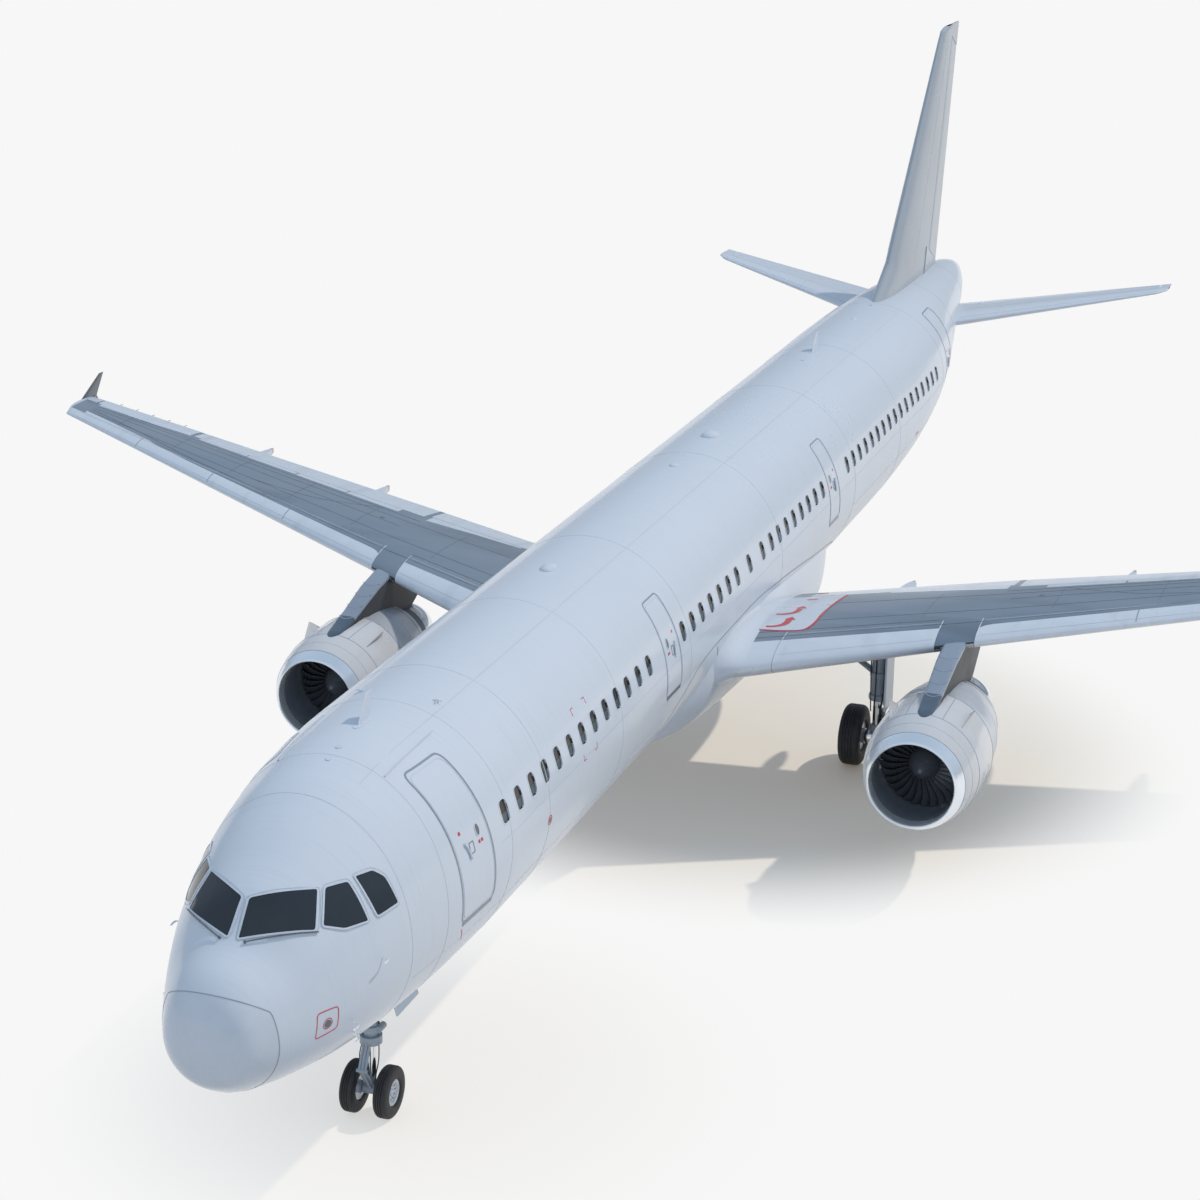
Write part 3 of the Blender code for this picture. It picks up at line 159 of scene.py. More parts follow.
# Cabin windows: height, first one's station, pitch, and which of the places have one
WINDOW_Z, WINDOW_FIRST, WINDOW_PITCH = 5.003, 5.967, 0.549
WINDOW_PLACES = (
    *range(13), *(15.418 + k for k in range(7)), 22.91, 24.5, *(25.618 + k for k in range(8)),
    *(36.357 + k for k in range(17)),
)
WINDOW_HALF_WIDTH, WINDOW_HALF_HEIGHT, WINDOW_DEPTH = 0.118, 0.172, 0.025

# Doors on both sides: forward and aft station at the top, then at the bottom, top and bottom height
CABIN_DOORS = (
    ("entry", 4.31, 5.31, 4.46, 5.50, 6.09, 3.84), ("exit", 13.35, 14.08, 13.33, 14.16, 5.79, 4.13),
    ("exit_aft", 24.30, 25.00, 24.28, 25.10, 5.80, 4.12), ("entry_aft", 36.27, 37.20, 36.25, 37.17, 6.10, 4.05),
)


def place(x, s, z):
    """A full-size place as a point of the model."""
    return Vector((x, s - LENGTH / 2, z)) * SCALE


# Camera, at the photograph's viewing angle: its angles in degrees, its place in the model's metres
CAMERA_AZIMUTH, CAMERA_ELEVATION, CAMERA_ROLL = 19.5864, 18.9739, 0.5581
CAMERA_PLACE = (7.4307, -24.3287, 10.1460)
CAMERA_LENS, CAMERA_SENSOR, CAMERA_CLIP = 77.128, 36.0, 1000.0


def set_camera():
    azimuth, elevation, roll = (math.radians(a) for a in (CAMERA_AZIMUTH, CAMERA_ELEVATION, CAMERA_ROLL))
    forward = Vector((
        -math.sin(azimuth) * math.cos(elevation), math.cos(azimuth) * math.cos(elevation),
        -math.sin(elevation),
    ))
    right = Vector((math.cos(azimuth), math.sin(azimuth), 0.0))
    up = right.cross(forward)
    across = right * math.cos(roll) + up * math.sin(roll)
    upward = up * math.cos(roll) - right * math.sin(roll)
    data = bpy.data.cameras.new("photo_camera")
    data.sensor_width = CAMERA_SENSOR
    data.lens = CAMERA_LENS
    data.clip_end = CAMERA_CLIP
    camera = bpy.data.objects.new("photo_camera", data)
    bpy.context.scene.collection.objects.link(camera)
    camera.matrix_world = Matrix((
        (across.x, upward.x, -forward.x, CAMERA_PLACE[0]),
        (across.y, upward.y, -forward.y, CAMERA_PLACE[1]),
        (across.z, upward.z, -forward.z, CAMERA_PLACE[2]),
        (0.0, 0.0, 0.0, 1.0),
    ))
    bpy.context.scene.camera = camera


set_camera()


# Curves between measured rows
def between(rows, value):
    for low, high in zip(rows, rows[1:]):
        if value <= high[0]:
            break
    share = (value - low[0]) / (high[0] - low[0])
    return tuple(a + (b - a) * share for a, b in zip(low, high))


def smooth_between(rows, value):
    """A row on curves that keep the rows' slopes and never overshoot."""
    for k in range(len(rows) - 1):
        if value <= rows[k + 1][0]:
            break
    x0, x1 = rows[k][0], rows[k + 1][0]
    t = (value - x0) / (x1 - x0)

    def slope(j, c):
        if j == 0 or j == len(rows) - 1:
            a, b = (0, 1) if j == 0 else (j - 1, j)
            return (rows[b][c] - rows[a][c]) / (rows[b][0] - rows[a][0])
        before = (rows[j][c] - rows[j - 1][c]) / (rows[j][0] - rows[j - 1][0])
        after = (rows[j + 1][c] - rows[j][c]) / (rows[j + 1][0] - rows[j][0])
        return 2 * before * after / (before + after) if before * after > 0 else 0.0

    row = [value]
    for c in range(1, len(rows[0])):
        y0, y1, width = rows[k][c], rows[k + 1][c], x1 - x0
        row.append(
            (2 * t**3 - 3 * t**2 + 1) * y0 + (t**3 - 2 * t**2 + t) * width * slope(k, c)
            + (3 * t**2 - 2 * t**3) * y1 + (t**3 - t**2) * width * slope(k + 1, c)
        )
    return tuple(row)


def spread(first, last, step):
    """Evenly spaced values from first to last, about one step apart."""
    count = max(1, round(abs(last - first) / step))
    return [first + (last - first) * k / count for k in range(count + 1)]


def rounded_line(points, steps=6):
    """A smooth line through points of any dimension."""
    line = []
    for k in range(len(points) - 1):
        a, b = points[max(k - 1, 0)], points[k]
        c, d = points[k + 1], points[min(k + 2, len(points) - 1)]
        for j in range(steps):
            t = j / steps
            line.append(tuple(
                0.5 * (
                    2 * q + (r - p) * t + (2 * p - 5 * q + 4 * r - w) * t**2
                    + (3 * q - p - 3 * r + w) * t**3
                )
                for p, q, r, w in zip(a, b, c, d)
            ))
    line.append(tuple(points[-1]))
    return line


def oval(middle, across, up, count):
    """A closed line of pairs round a middle."""
    angles = [2 * math.pi * k / count for k in range(count)]
    return [(middle[0] + across * math.cos(a), middle[1] + up * math.sin(a)) for a in angles]


def mirrored(ring, first=1):
    """A ring's port half followed by its starboard half, which leaves out the first points."""
    return ring + [(-x, s, z) for x, s, z in reversed(ring[first:])]


def drawn_out(one, two, step):
    """Rows of points from one ring straight to another."""
    return [[tuple(Vector(a).lerp(Vector(b), t)) for a, b in zip(one, two)] for t in spread(0.0, 1.0, step)]


def spoke(angle):
    """The directions outward and around at an angle about a fore-and-aft axis."""
    c, s = math.cos(angle), math.sin(angle)
    return Vector((c, 0.0, s)), Vector((-s, 0.0, c))


# Materials
def add_node(tree, kind, values=None, feeds=None, **settings):
    """A shader node with its settings, its inputs' values and the sockets that feed its inputs."""
    made = tree.nodes.new("ShaderNode" + kind)
    for name, value in settings.items():
        setattr(made, name, value)
    for name, value in (values or {}).items():
        made.inputs[name].default_value = value
    for name, socket in (feeds or {}).items():
        tree.links.new(socket, made.inputs[name])
    return made


def node_material(
    name, colour, roughness, metallic=0.0, coat=0.0, second=None, blotch=(2.0, 2.0, 2.0), amount=0.5,
    bump=0.0, bump_scale=120.0, rough_spread=0.08, streak=None, streak_scale=(1.2, 9.0, 0.5), streak_amount=0.0,
    coat_roughness=0.06, specular=0.5,
):
    """A paint, metal or rubber whose colour, gloss and surface vary by noise in the object's own space."""
    made = bpy.data.materials.new(name)
    made.use_nodes = True
    tree = made.node_tree
    shader = tree.nodes["Principled BSDF"]
    for name, value in (
        ("Metallic", metallic), ("Coat Weight", coat), ("Coat Roughness", coat_roughness),
        ("Specular IOR Level", specular),
    ):
        shader.inputs[name].default_value = value
    here = add_node(tree, "TexCoord").outputs["Object"]
    mapping = add_node(tree, "Mapping", {"Scale": blotch}, {"Vector": here})
    noise = add_node(
        tree, "TexNoise", {"Scale": 1.0, "Detail": 6.0, "Roughness": 0.62}, {"Vector": mapping.outputs["Vector"]},
    ).outputs["Fac"]
    ramp = add_node(tree, "MapRange", {"From Min": 0.40, "From Max": 0.68, "To Max": amount}, {"Value": noise})
    last = add_node(
        tree, "Mix", {"A": (*colour, 1.0), "B": (*(second or tuple(c * 0.8 for c in colour)), 1.0)},
        {"Factor": ramp.outputs["Result"]}, data_type="RGBA",
    ).outputs["Result"]
    if streak_amount:
        along = add_node(tree, "Mapping", {"Scale": streak_scale}, {"Vector": here})
        lines = add_node(tree, "TexNoise", {"Scale": 1.0, "Detail": 4.0}, {"Vector": along.outputs["Vector"]})
        limit = add_node(
            tree, "MapRange", {"From Min": 0.52, "From Max": 0.75, "To Max": streak_amount},
            {"Value": lines.outputs["Fac"]},
        )
        last = add_node(
            tree, "Mix", {"B": (*(streak or tuple(c * 0.6 for c in colour)), 1.0)},
            {"A": last, "Factor": limit.outputs["Result"]}, data_type="RGBA",
        ).outputs["Result"]
    tree.links.new(last, shader.inputs["Base Color"])
    gloss = add_node(tree, "MapRange", {
        "From Min": 0.3, "From Max": 0.7, "To Min": max(0.02, roughness - rough_spread),
        "To Max": roughness + rough_spread,
    }, {"Value": noise})
    tree.links.new(gloss.outputs["Result"], shader.inputs["Roughness"])
    if bump:
        grain = add_node(tree, "TexNoise", {"Scale": bump_scale, "Detail": 3.0}, {"Vector": here})
        raised = add_node(
            tree, "Bump", {"Strength": bump, "Distance": 0.002}, {"Height": grain.outputs["Fac"]},
        )
        tree.links.new(raised.outputs["Normal"], shader.inputs["Normal"])
    made.diffuse_color = (*colour, 1.0)
    return made


PAINT = node_material(
    "white_paint", (0.68, 0.74, 0.82), 0.30, coat=0.3, second=(0.64, 0.70, 0.785), blotch=(0.5, 0.35, 0.5),
    streak=(0.58, 0.63, 0.70), streak_scale=(1.6, 42.0, 1.6), streak_amount=0.30,
    rough_spread=0.05, specular=0.4,
)
NOSE_PAINT = node_material(
    "nose_paint", (0.64, 0.70, 0.78), 0.27, coat=0.3, second=(0.57, 0.63, 0.71), blotch=(3.0, 3.0, 3.0),
    amount=0.45, streak=(0.54, 0.59, 0.65), streak_scale=(9.0, 5.0, 9.0), streak_amount=0.3,
    specular=0.4,
)
# The fin and rudder's white paint made darker grey: painted shade on the fin's sides
FIN_PAINTED_SHADE = node_material(
    "fin_painted_shade", (0.43, 0.475, 0.52), 0.34, coat=0.2, second=(0.40, 0.44, 0.485), blotch=(0.6, 0.8, 0.35),
    amount=0.6, streak=(0.37, 0.41, 0.46), streak_scale=(1.6, 1.2, 30.0), streak_amount=0.25, rough_spread=0.05,
    specular=0.4,
)
SEAM = node_material("seam", (0.30, 0.33, 0.38), 0.5, second=(0.42, 0.45, 0.5), amount=0.6)
SEAM_SOFT = node_material("seam_soft", (0.54, 0.585, 0.65), 0.45, second=(0.63, 0.675, 0.74), amount=0.8)
DOOR_LINE = node_material("door_line", (0.26, 0.31, 0.38), 0.4, coat=0.3, second=(0.36, 0.41, 0.48))
WING_TOP = node_material(
    "wing_dark", (0.205, 0.262, 0.33), 0.34, metallic=0.25, coat=0.15, second=(0.30, 0.345, 0.40),
    blotch=(0.35, 0.9, 0.8), amount=0.85, streak=(0.12, 0.15, 0.19), streak_scale=(0.3, 1.6, 1.0),
    streak_amount=0.7,
)
WING_LIGHT = node_material(
    "wing_light", (0.70, 0.76, 0.83), 0.32, metallic=0.1, coat=0.3, second=(0.62, 0.68, 0.76),
    blotch=(1.2, 2.5, 1.0), amount=0.6, streak=(0.44, 0.48, 0.54), streak_scale=(6.0, 0.8, 2.0),
    streak_amount=0.35,
)
WING_BELOW = node_material(
    "wing_below", (0.50, 0.54, 0.59), 0.36, metallic=0.1, coat=0.2, second=(0.42, 0.46, 0.51),
    blotch=(1.0, 1.0, 1.0), amount=0.6,
)
COWL_PAINT = node_material(
    "cowl_paint", (0.66, 0.67, 0.69), 0.24, coat=0.5, second=(0.58, 0.60, 0.63), blotch=(1.4, 1.0, 1.4),
    amount=0.6, streak=(0.5, 0.5, 0.51), streak_scale=(5.0, 0.7, 5.0), streak_amount=0.3,
)
NOZZLE_PAINT = node_material(
    "nozzle_paint", (0.56, 0.60, 0.66), 0.32, metallic=0.2, coat=0.3, second=(0.46, 0.50, 0.55),
    blotch=(2.0, 1.0, 2.0), amount=0.6,
)
DARK_PAINT = node_material(
    "dark_paint", (0.10, 0.115, 0.135), 0.28, coat=0.4, second=(0.17, 0.19, 0.21), blotch=(2.5, 2.5, 2.5),
    amount=0.6,
)
GLASS = node_material(
    "dark_glass", (0.030, 0.038, 0.049), 0.10, second=(0.044, 0.056, 0.070), blotch=(1.5, 1.5, 1.5),
    rough_spread=0.03, specular=0.3,
)
POLISHED = node_material(
    "polished_metal", (0.90, 0.94, 0.98), 0.22, metallic=0.65, second=(0.82, 0.87, 0.92),
    blotch=(4.0, 4.0, 4.0), rough_spread=0.05,
)
CHROME = node_material(
    "chrome", (0.78, 0.80, 0.82), 0.10, metallic=1.0, second=(0.6, 0.62, 0.66), blotch=(8.0, 8.0, 8.0),
    rough_spread=0.05,
)
HOT_METAL = node_material(
    "hot_metal", (0.46, 0.46, 0.48), 0.28, metallic=1.0, second=(0.30, 0.28, 0.27), blotch=(3.0, 1.5, 3.0),
    amount=0.8,
)
FAN_METAL = node_material(
    "fan_metal", (0.10, 0.11, 0.125), 0.30, metallic=0.5, coat=0.3, second=(0.16, 0.17, 0.19),
    blotch=(6.0, 6.0, 6.0),
)
DUCT = node_material(
    "duct", (0.22, 0.25, 0.30), 0.4, metallic=0.2, coat=0.3, second=(0.28, 0.31, 0.36), blotch=(2.0, 4.0, 2.0),
    amount=0.6,
)
GEAR_PAINT = node_material(
    "gear_paint", (0.40, 0.46, 0.52), 0.38, coat=0.2, second=(0.26, 0.30, 0.34), blotch=(8.0, 8.0, 8.0),
    amount=0.6, bump=0.15, bump_scale=60.0,
)
HUB_METAL = node_material(
    "hub_metal", (0.52, 0.56, 0.62), 0.3, metallic=0.6, second=(0.36, 0.39, 0.43), blotch=(14.0, 14.0, 14.0),
)
WING_SEAM = node_material("wing_seam", (0.13, 0.16, 0.20), 0.45, second=(0.19, 0.23, 0.28), amount=0.7)
RUBBER = node_material(
    "rubber", (0.020, 0.020, 0.022), 0.62, second=(0.045, 0.045, 0.047), blotch=(12.0, 12.0, 12.0),
    amount=0.7, bump=0.35, bump_scale=220.0,
)
RED = node_material("red_marking", (0.62, 0.045, 0.05), 0.4, coat=0.3, second=(0.50, 0.05, 0.05))
ORANGE = node_material("orange_marking", (0.70, 0.14, 0.05), 0.4, coat=0.3, second=(0.6, 0.1, 0.05))
# Near-black for hollows and the walls of cut-outs: painted shade
SHADOW_DARK = node_material("bay_painted_shade", (0.05, 0.055, 0.06), 0.7, second=(0.09, 0.095, 0.10), amount=0.6)
BAY_LINER = node_material(
    "bay_liner", (0.35, 0.38, 0.34), 0.6, second=(0.27, 0.30, 0.27), blotch=(6.0, 6.0, 6.0), bump=0.2,
    bump_scale=80.0,
)
PYLON_TOP = node_material(
    "pylon_top", (0.32, 0.38, 0.46), 0.3, metallic=0.2, coat=0.3, second=(0.26, 0.31, 0.38),
    blotch=(3.0, 1.5, 3.0), amount=0.6,
)
PYLON_TIP = node_material(
    "pylon_tip", (0.075, 0.11, 0.16), 0.25, coat=0.3, second=(0.11, 0.15, 0.21), blotch=(3.0, 3.0, 3.0),
    amount=0.6,
)
PYLON_SIDE = node_material(
    "pylon_side", (0.050, 0.055, 0.062), 0.42, second=(0.085, 0.085, 0.085), blotch=(2.0, 1.2, 2.0), amount=0.8,
    specular=0.15,
)
# Lighter grey-blue on the lower part of each cabin pane: a painted reflection
REFLECT = node_material(
    "window_painted_reflection", (0.085, 0.11, 0.132), 0.20, second=(0.06, 0.08, 0.098), blotch=(5.0, 5.0, 14.0), amount=0.9,
    specular=0.3,
)
CABIN_GLASS = node_material(
    "cabin_glass", (0.040, 0.036, 0.032), 0.12, second=(0.028, 0.026, 0.025), blotch=(3.0, 3.0, 3.0),
    rough_spread=0.03, specular=0.3,
)


# Building pieces
class Shape:
    """The corners and faces of one piece, in full-size metres."""

    def __init__(self):
        self.verts = []
        self.faces = []
        self.slots = []

    def add(self, points, faces, slot=0):
        start = len(self.verts)
        self.verts.extend(points)
        for face in faces:
            self.faces.append([start + k for k in face])
            self.slots.append(slot)

    def grid(self, rows, around=False, caps=False, slot=0, slots=None):
        """Faces between rows of equally many points; around closes each row on itself."""
        count = len(rows[0])
        faces = []
        kinds = []
        for i in range(len(rows) - 1):
            for k in range(count if around else count - 1):
                n = (k + 1) % count
                faces.append((i * count + k, i * count + n, (i + 1) * count + n, (i + 1) * count + k))
                kinds.append(slots[k] if slots else slot)
        if caps:
            faces.append(tuple(range(count)))
            faces.append(tuple(range((len(rows) - 1) * count, len(rows) * count)))
            kinds += [slot, slot]
        start = len(self.verts)
        for row in rows:
            self.verts.extend(row)
        for face, kind in zip(faces, kinds):
            self.faces.append([start + k for k in face])
            self.slots.append(kind)

    def lathe(self, profile, centre, axis="s", steps=96, slot=0, slots=None, closed=False):
        """Turns (distance along, radius) pairs about an axis through the centre."""
        rows = []
        for k in range(steps):
            angle = 2 * math.pi * k / steps
            c, s = math.cos(angle), math.sin(angle)
            row = []
            for along, radius in profile:
                if axis == "s":
                    row.append((centre[0] + radius * c, centre[1] + along, centre[2] + radius * s))
                elif axis == "x":
                    row.append((centre[0] + along, centre[1] + radius * c, centre[2] + radius * s))
                else:
                    row.append((centre[0] + radius * c, centre[1] + radius * s, centre[2] + along))
            rows.append(row)
        rows.append(rows[0])
        self.grid(rows, around=closed, slot=slot, slots=slots)

    def strap(self, points, normals, width, height, sink=0.004, closed=False, slot=0):
        """A flat strip let into a surface: a line of points with the surface's normals."""
        count = len(points)
        rows = []
        for k in range(count):
            ahead = points[(k + 1) % count] if closed or k < count - 1 else points[k]
            back = points[k - 1] if closed or k > 0 else points[k]
            along = (Vector(ahead) - Vector(back)).normalized()
            normal = Vector(normals[k])
            across = along.cross(normal).normalized() * width / 2
            middle = Vector(points[k])
            rows.append([
                tuple(middle - across - normal * sink), tuple(middle - across + normal * height),
                tuple(middle + across + normal * height), tuple(middle + across - normal * sink),
            ])
        if closed:
            rows.append(rows[0])
        self.grid(rows, slot=slot)

    def tube(self, points, radius, sides=10, slot=0, end_radius=None):
        """A round bar along a line of points, closed at both ends."""
        rows = []
        count = len(points)
        reference = Vector((0.31, 0.17, 0.93))
        for k in range(count):
            along = (Vector(points[min(k + 1, count - 1)]) - Vector(points[max(k - 1, 0)])).normalized()
            one = along.cross(reference).normalized()
            two = along.cross(one)
            size = radius if end_radius is None else radius + (end_radius - radius) * k / (count - 1)
            rows.append([
                tuple(Vector(points[k]) + (one * math.cos(a) + two * math.sin(a)) * size)
                for a in (2 * math.pi * j / sides for j in range(sides))
            ])
        self.grid(rows, around=True, caps=True, slot=slot)

    def block(self, centre, axes, halves, bevel=0.0, slot=0):
        """A box with bevelled edges along three directions."""
        a, b, c = (Vector(axis).normalized() for axis in axes)
        u, v, w = halves
        cut = min(bevel, u * 0.9, v * 0.9)
        outline = [
            (u - cut, v), (u, v - cut), (u, cut - v), (u - cut, -v), (cut - u, -v), (-u, cut - v), (-u, v - cut),
            (cut - u, v),
        ] if cut else [(u, v), (u, -v), (-u, -v), (-u, v)]
        rows = []
        for level, shrink in ((-w, cut), (cut - w, 0.0), (w - cut, 0.0), (w, cut)) if cut else ((-w, 0), (w, 0)):
            rows.append([
                tuple(
                    Vector(centre) + a * (p - math.copysign(shrink, p)) + b * (q - math.copysign(shrink, q))
                    + c * level
                )
                for p, q in outline
            ])
        self.grid(rows, around=True, caps=True, slot=slot)


def mesh_of(name, shape, angle=30.0):
    bm = bmesh.new()
    made = [bm.verts.new(place(*point)) for point in shape.verts]
    for face, slot in zip(shape.faces, shape.slots):
        corners = []
        for k in face:
            if made[k] not in corners:
                corners.append(made[k])
        if len(corners) > 2:
            try:
                bm.faces.new(corners).material_index = slot
            except ValueError:
                pass
    bmesh.ops.remove_doubles(bm, verts=bm.verts, dist=0.000004)
    bmesh.ops.dissolve_degenerate(bm, edges=bm.edges, dist=0.000002)
    bmesh.ops.recalc_face_normals(bm, faces=bm.faces)
    mesh = bpy.data.meshes.new(name)
    bm.to_mesh(mesh)
    bm.free()
    mesh.shade_smooth()
    mesh.set_sharp_from_angle(angle=math.radians(angle))
    return mesh


def piece(name, shape, body, materials, replaces=(), angle=30.0):
    made = bpy.data.objects.new(name, mesh_of(name, shape, angle))
    bpy.context.scene.collection.objects.link(made)
    for material in materials:
        made.data.materials.append(material)
    if body:
        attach(made, body)
    if replaces:
        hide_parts(*replaces)
    return made


def cutter(name, shape):
    made = bpy.data.objects.new(name, mesh_of(name, shape))
    bpy.context.scene.collection.objects.link(made)
    return made


def cut(target, *tools, operation="DIFFERENCE"):
    """Cuts tools out of a piece, applies the result and takes the tools away."""
    for tool in tools:
        modifier = target.modifiers.new("Cut", "BOOLEAN")
        modifier.operation = operation
        modifier.solver = "EXACT"
        modifier.object = tool
    bpy.context.view_layer.update()
    shaped = bpy.data.meshes.new_from_object(target.evaluated_get(bpy.context.evaluated_depsgraph_get()))
    target.modifiers.clear()
    target.data = shaped
    for tool in tools:
        bpy.data.objects.remove(tool)
    shaped.set_sharp_from_angle(angle=math.radians(30))
    return target


def prism_shape(outline, low, high):
    """A side view's outline, as stations and heights, drawn out across."""
    shape = Shape()
    shape.grid([[(x, s, z) for s, z in outline] for x in (low, high)], around=True, caps=True)
    return shape


def bare_hull(station, turn):
    _, top, bottom, half, widest = smooth_between(FUSELAGE, station)
    rise = widest - bottom if math.cos(turn) > 0 else top - widest
    return Vector((half * math.sin(turn), station, AXIS_Z + widest - rise * math.cos(turn)))


def hull_normal(station, turn):
    along = bare_hull(station + 0.01, turn) - bare_hull(max(station - 0.01, 0.0), turn)
    around = bare_hull(station, turn + 0.01) - bare_hull(station, turn - 0.01)
    return along.cross(around).normalized()


def hull(station, turn, lift=0.0):
    """A point of the skin: turn is 0 at the keel, pi at the crown, positive to port."""
    point = bare_hull(station, turn)
    return point + hull_normal(station, turn) * lift if lift else point


def section_at(station, height):
    """The half width at a station, and a height's distance from the widest place as a share of the skin's."""
    _, top, bottom, half, widest = smooth_between(FUSELAGE, station)
    rise = height - AXIS_Z - widest
    return half, rise / (top - widest if rise > 0 else widest - bottom)


def turn_at(station, height):
    """The turn where the port skin has this height."""
    _, share = section_at(station, height)
    return math.acos(max(-1.0, min(1.0, -share)))


def turn_of(x, station, height):
    """The turn of a point near the skin."""
    half, share = section_at(station, height)
    return math.atan2(x / half, -share)


def hull_strap(shape, path, width, height=0.003, closed=False, slot=0):
    """A strip on the skin along (station, turn) pairs."""
    shape.strap(
        [tuple(hull(s, t)) for s, t in path], [hull_normal(s, t) for s, t in path], width, height,
        closed=closed, slot=slot,
    )


def side_path(points, side):
    """(station, height) pairs as (station, turn) pairs on one side."""
    return [(s, side * turn_at(s, z)) for s, z in points]


def rounded_outline(corners, radius, step=0.12, arc=5):
    """A closed outline with rounded corners and divided edges."""
    line = []
    count = len(corners)
    for k in range(count):
        before, here, after = (Vector(corners[j % count]) for j in (k - 1, k, k + 1))
        one = here + (before - here).normalized() * radius
        two = here + (after - here).normalized() * radius
        for j in range(arc + 1):
            t = j / arc
            line.append(one * (1 - t)**2 + here * 2 * t * (1 - t) + two * t**2)
        end = after + (here - after).normalized() * radius
        for share in spread(0.0, 1.0, min(1.0, step / max((end - two).length, 0.001)))[1:-1]:
            line.append(two + (end - two) * share)
    return [tuple(point) for point in line]


def hull_patch(shape, outline_pairs, lift, slot=0, rings=3):
    """A flush panel on the skin inside a closed line of (station, turn) pairs."""
    count = len(outline_pairs)
    middle = (sum(p[0] for p in outline_pairs) / count, sum(p[1] for p in outline_pairs) / count)
    rows = []
    for ring in range(rings + 1):
        share = ring / rings
        rows.append([
            tuple(hull(s + (middle[0] - s) * share, t + (middle[1] - t) * share, lift))
            for s, t in outline_pairs
        ])
    edge = [tuple(hull(s, t, -0.004)) for s, t in outline_pairs]
    shape.grid([edge, *rows], around=True, slot=slot)


# Fuselage, radome and tail cone
def hull_rows(stations, grow=0.0):
    rows = []
    for s in stations:
        _, top, bottom, half, widest = smooth_between(FUSELAGE, s)
        row = []
        for k in range(RING_STEPS):
            turn = -2 * math.pi * k / RING_STEPS
            rise = (widest - bottom if math.cos(turn) > 0 else top - widest) + grow
            row.append(((half + grow) * math.sin(turn), s, AXIS_Z + widest - rise * math.cos(turn)))
        rows.append(row)
    return rows


def hull_stations(first, last):
    marks = [0.0, 0.005, 0.012, 0.02, 0.035, 0.055, 0.08, 0.11, 0.15, 0.20, 0.26, 0.32, 0.38, 0.45]
    marks += spread(0.52, 6.4, 0.10)
    marks += spread(7.0, 29.0, 0.55)
    marks += spread(29.3, 44.51, 0.30)
    return [first, *[s for s in marks if first + 0.003 < s < last - 0.003], last]


def sector_shape(first, last, out, inside, low, high, steps=24):
    """A piece of the starboard skin between two turns."""
    turns = [low + (high - low) * k / steps for k in range(steps + 1)]
    rows = []
    for station in spread(first, last, 0.3):
        row = []
        for grow, order in ((out, turns), (inside, list(reversed(turns)))):
            for turn in order:
                row.append((
                    -(TUBE_HALF_WIDTH + grow) * math.sin(turn), station,
                    AXIS_Z - (TUBE_HALF_HEIGHT + grow) * math.cos(turn),
                ))
        rows.append(row)
    shape = Shape()
    shape.grid(rows, around=True, caps=True)
    return shape


def window_outline(s, z, grow=0.0, count=20):
    points = []
    for k in range(count):
        a = 2 * math.pi * k / count
        c, v = math.cos(a), math.sin(a)
        points.append((
            s + (WINDOW_HALF_WIDTH + grow) * math.copysign(abs(c)**0.55, c),
            z + (WINDOW_HALF_HEIGHT + grow) * math.copysign(abs(v)**0.62, v),
        ))
    return points


def window_stations():
    return [WINDOW_FIRST + WINDOW_PITCH * place_number for place_number in WINDOW_PLACES]


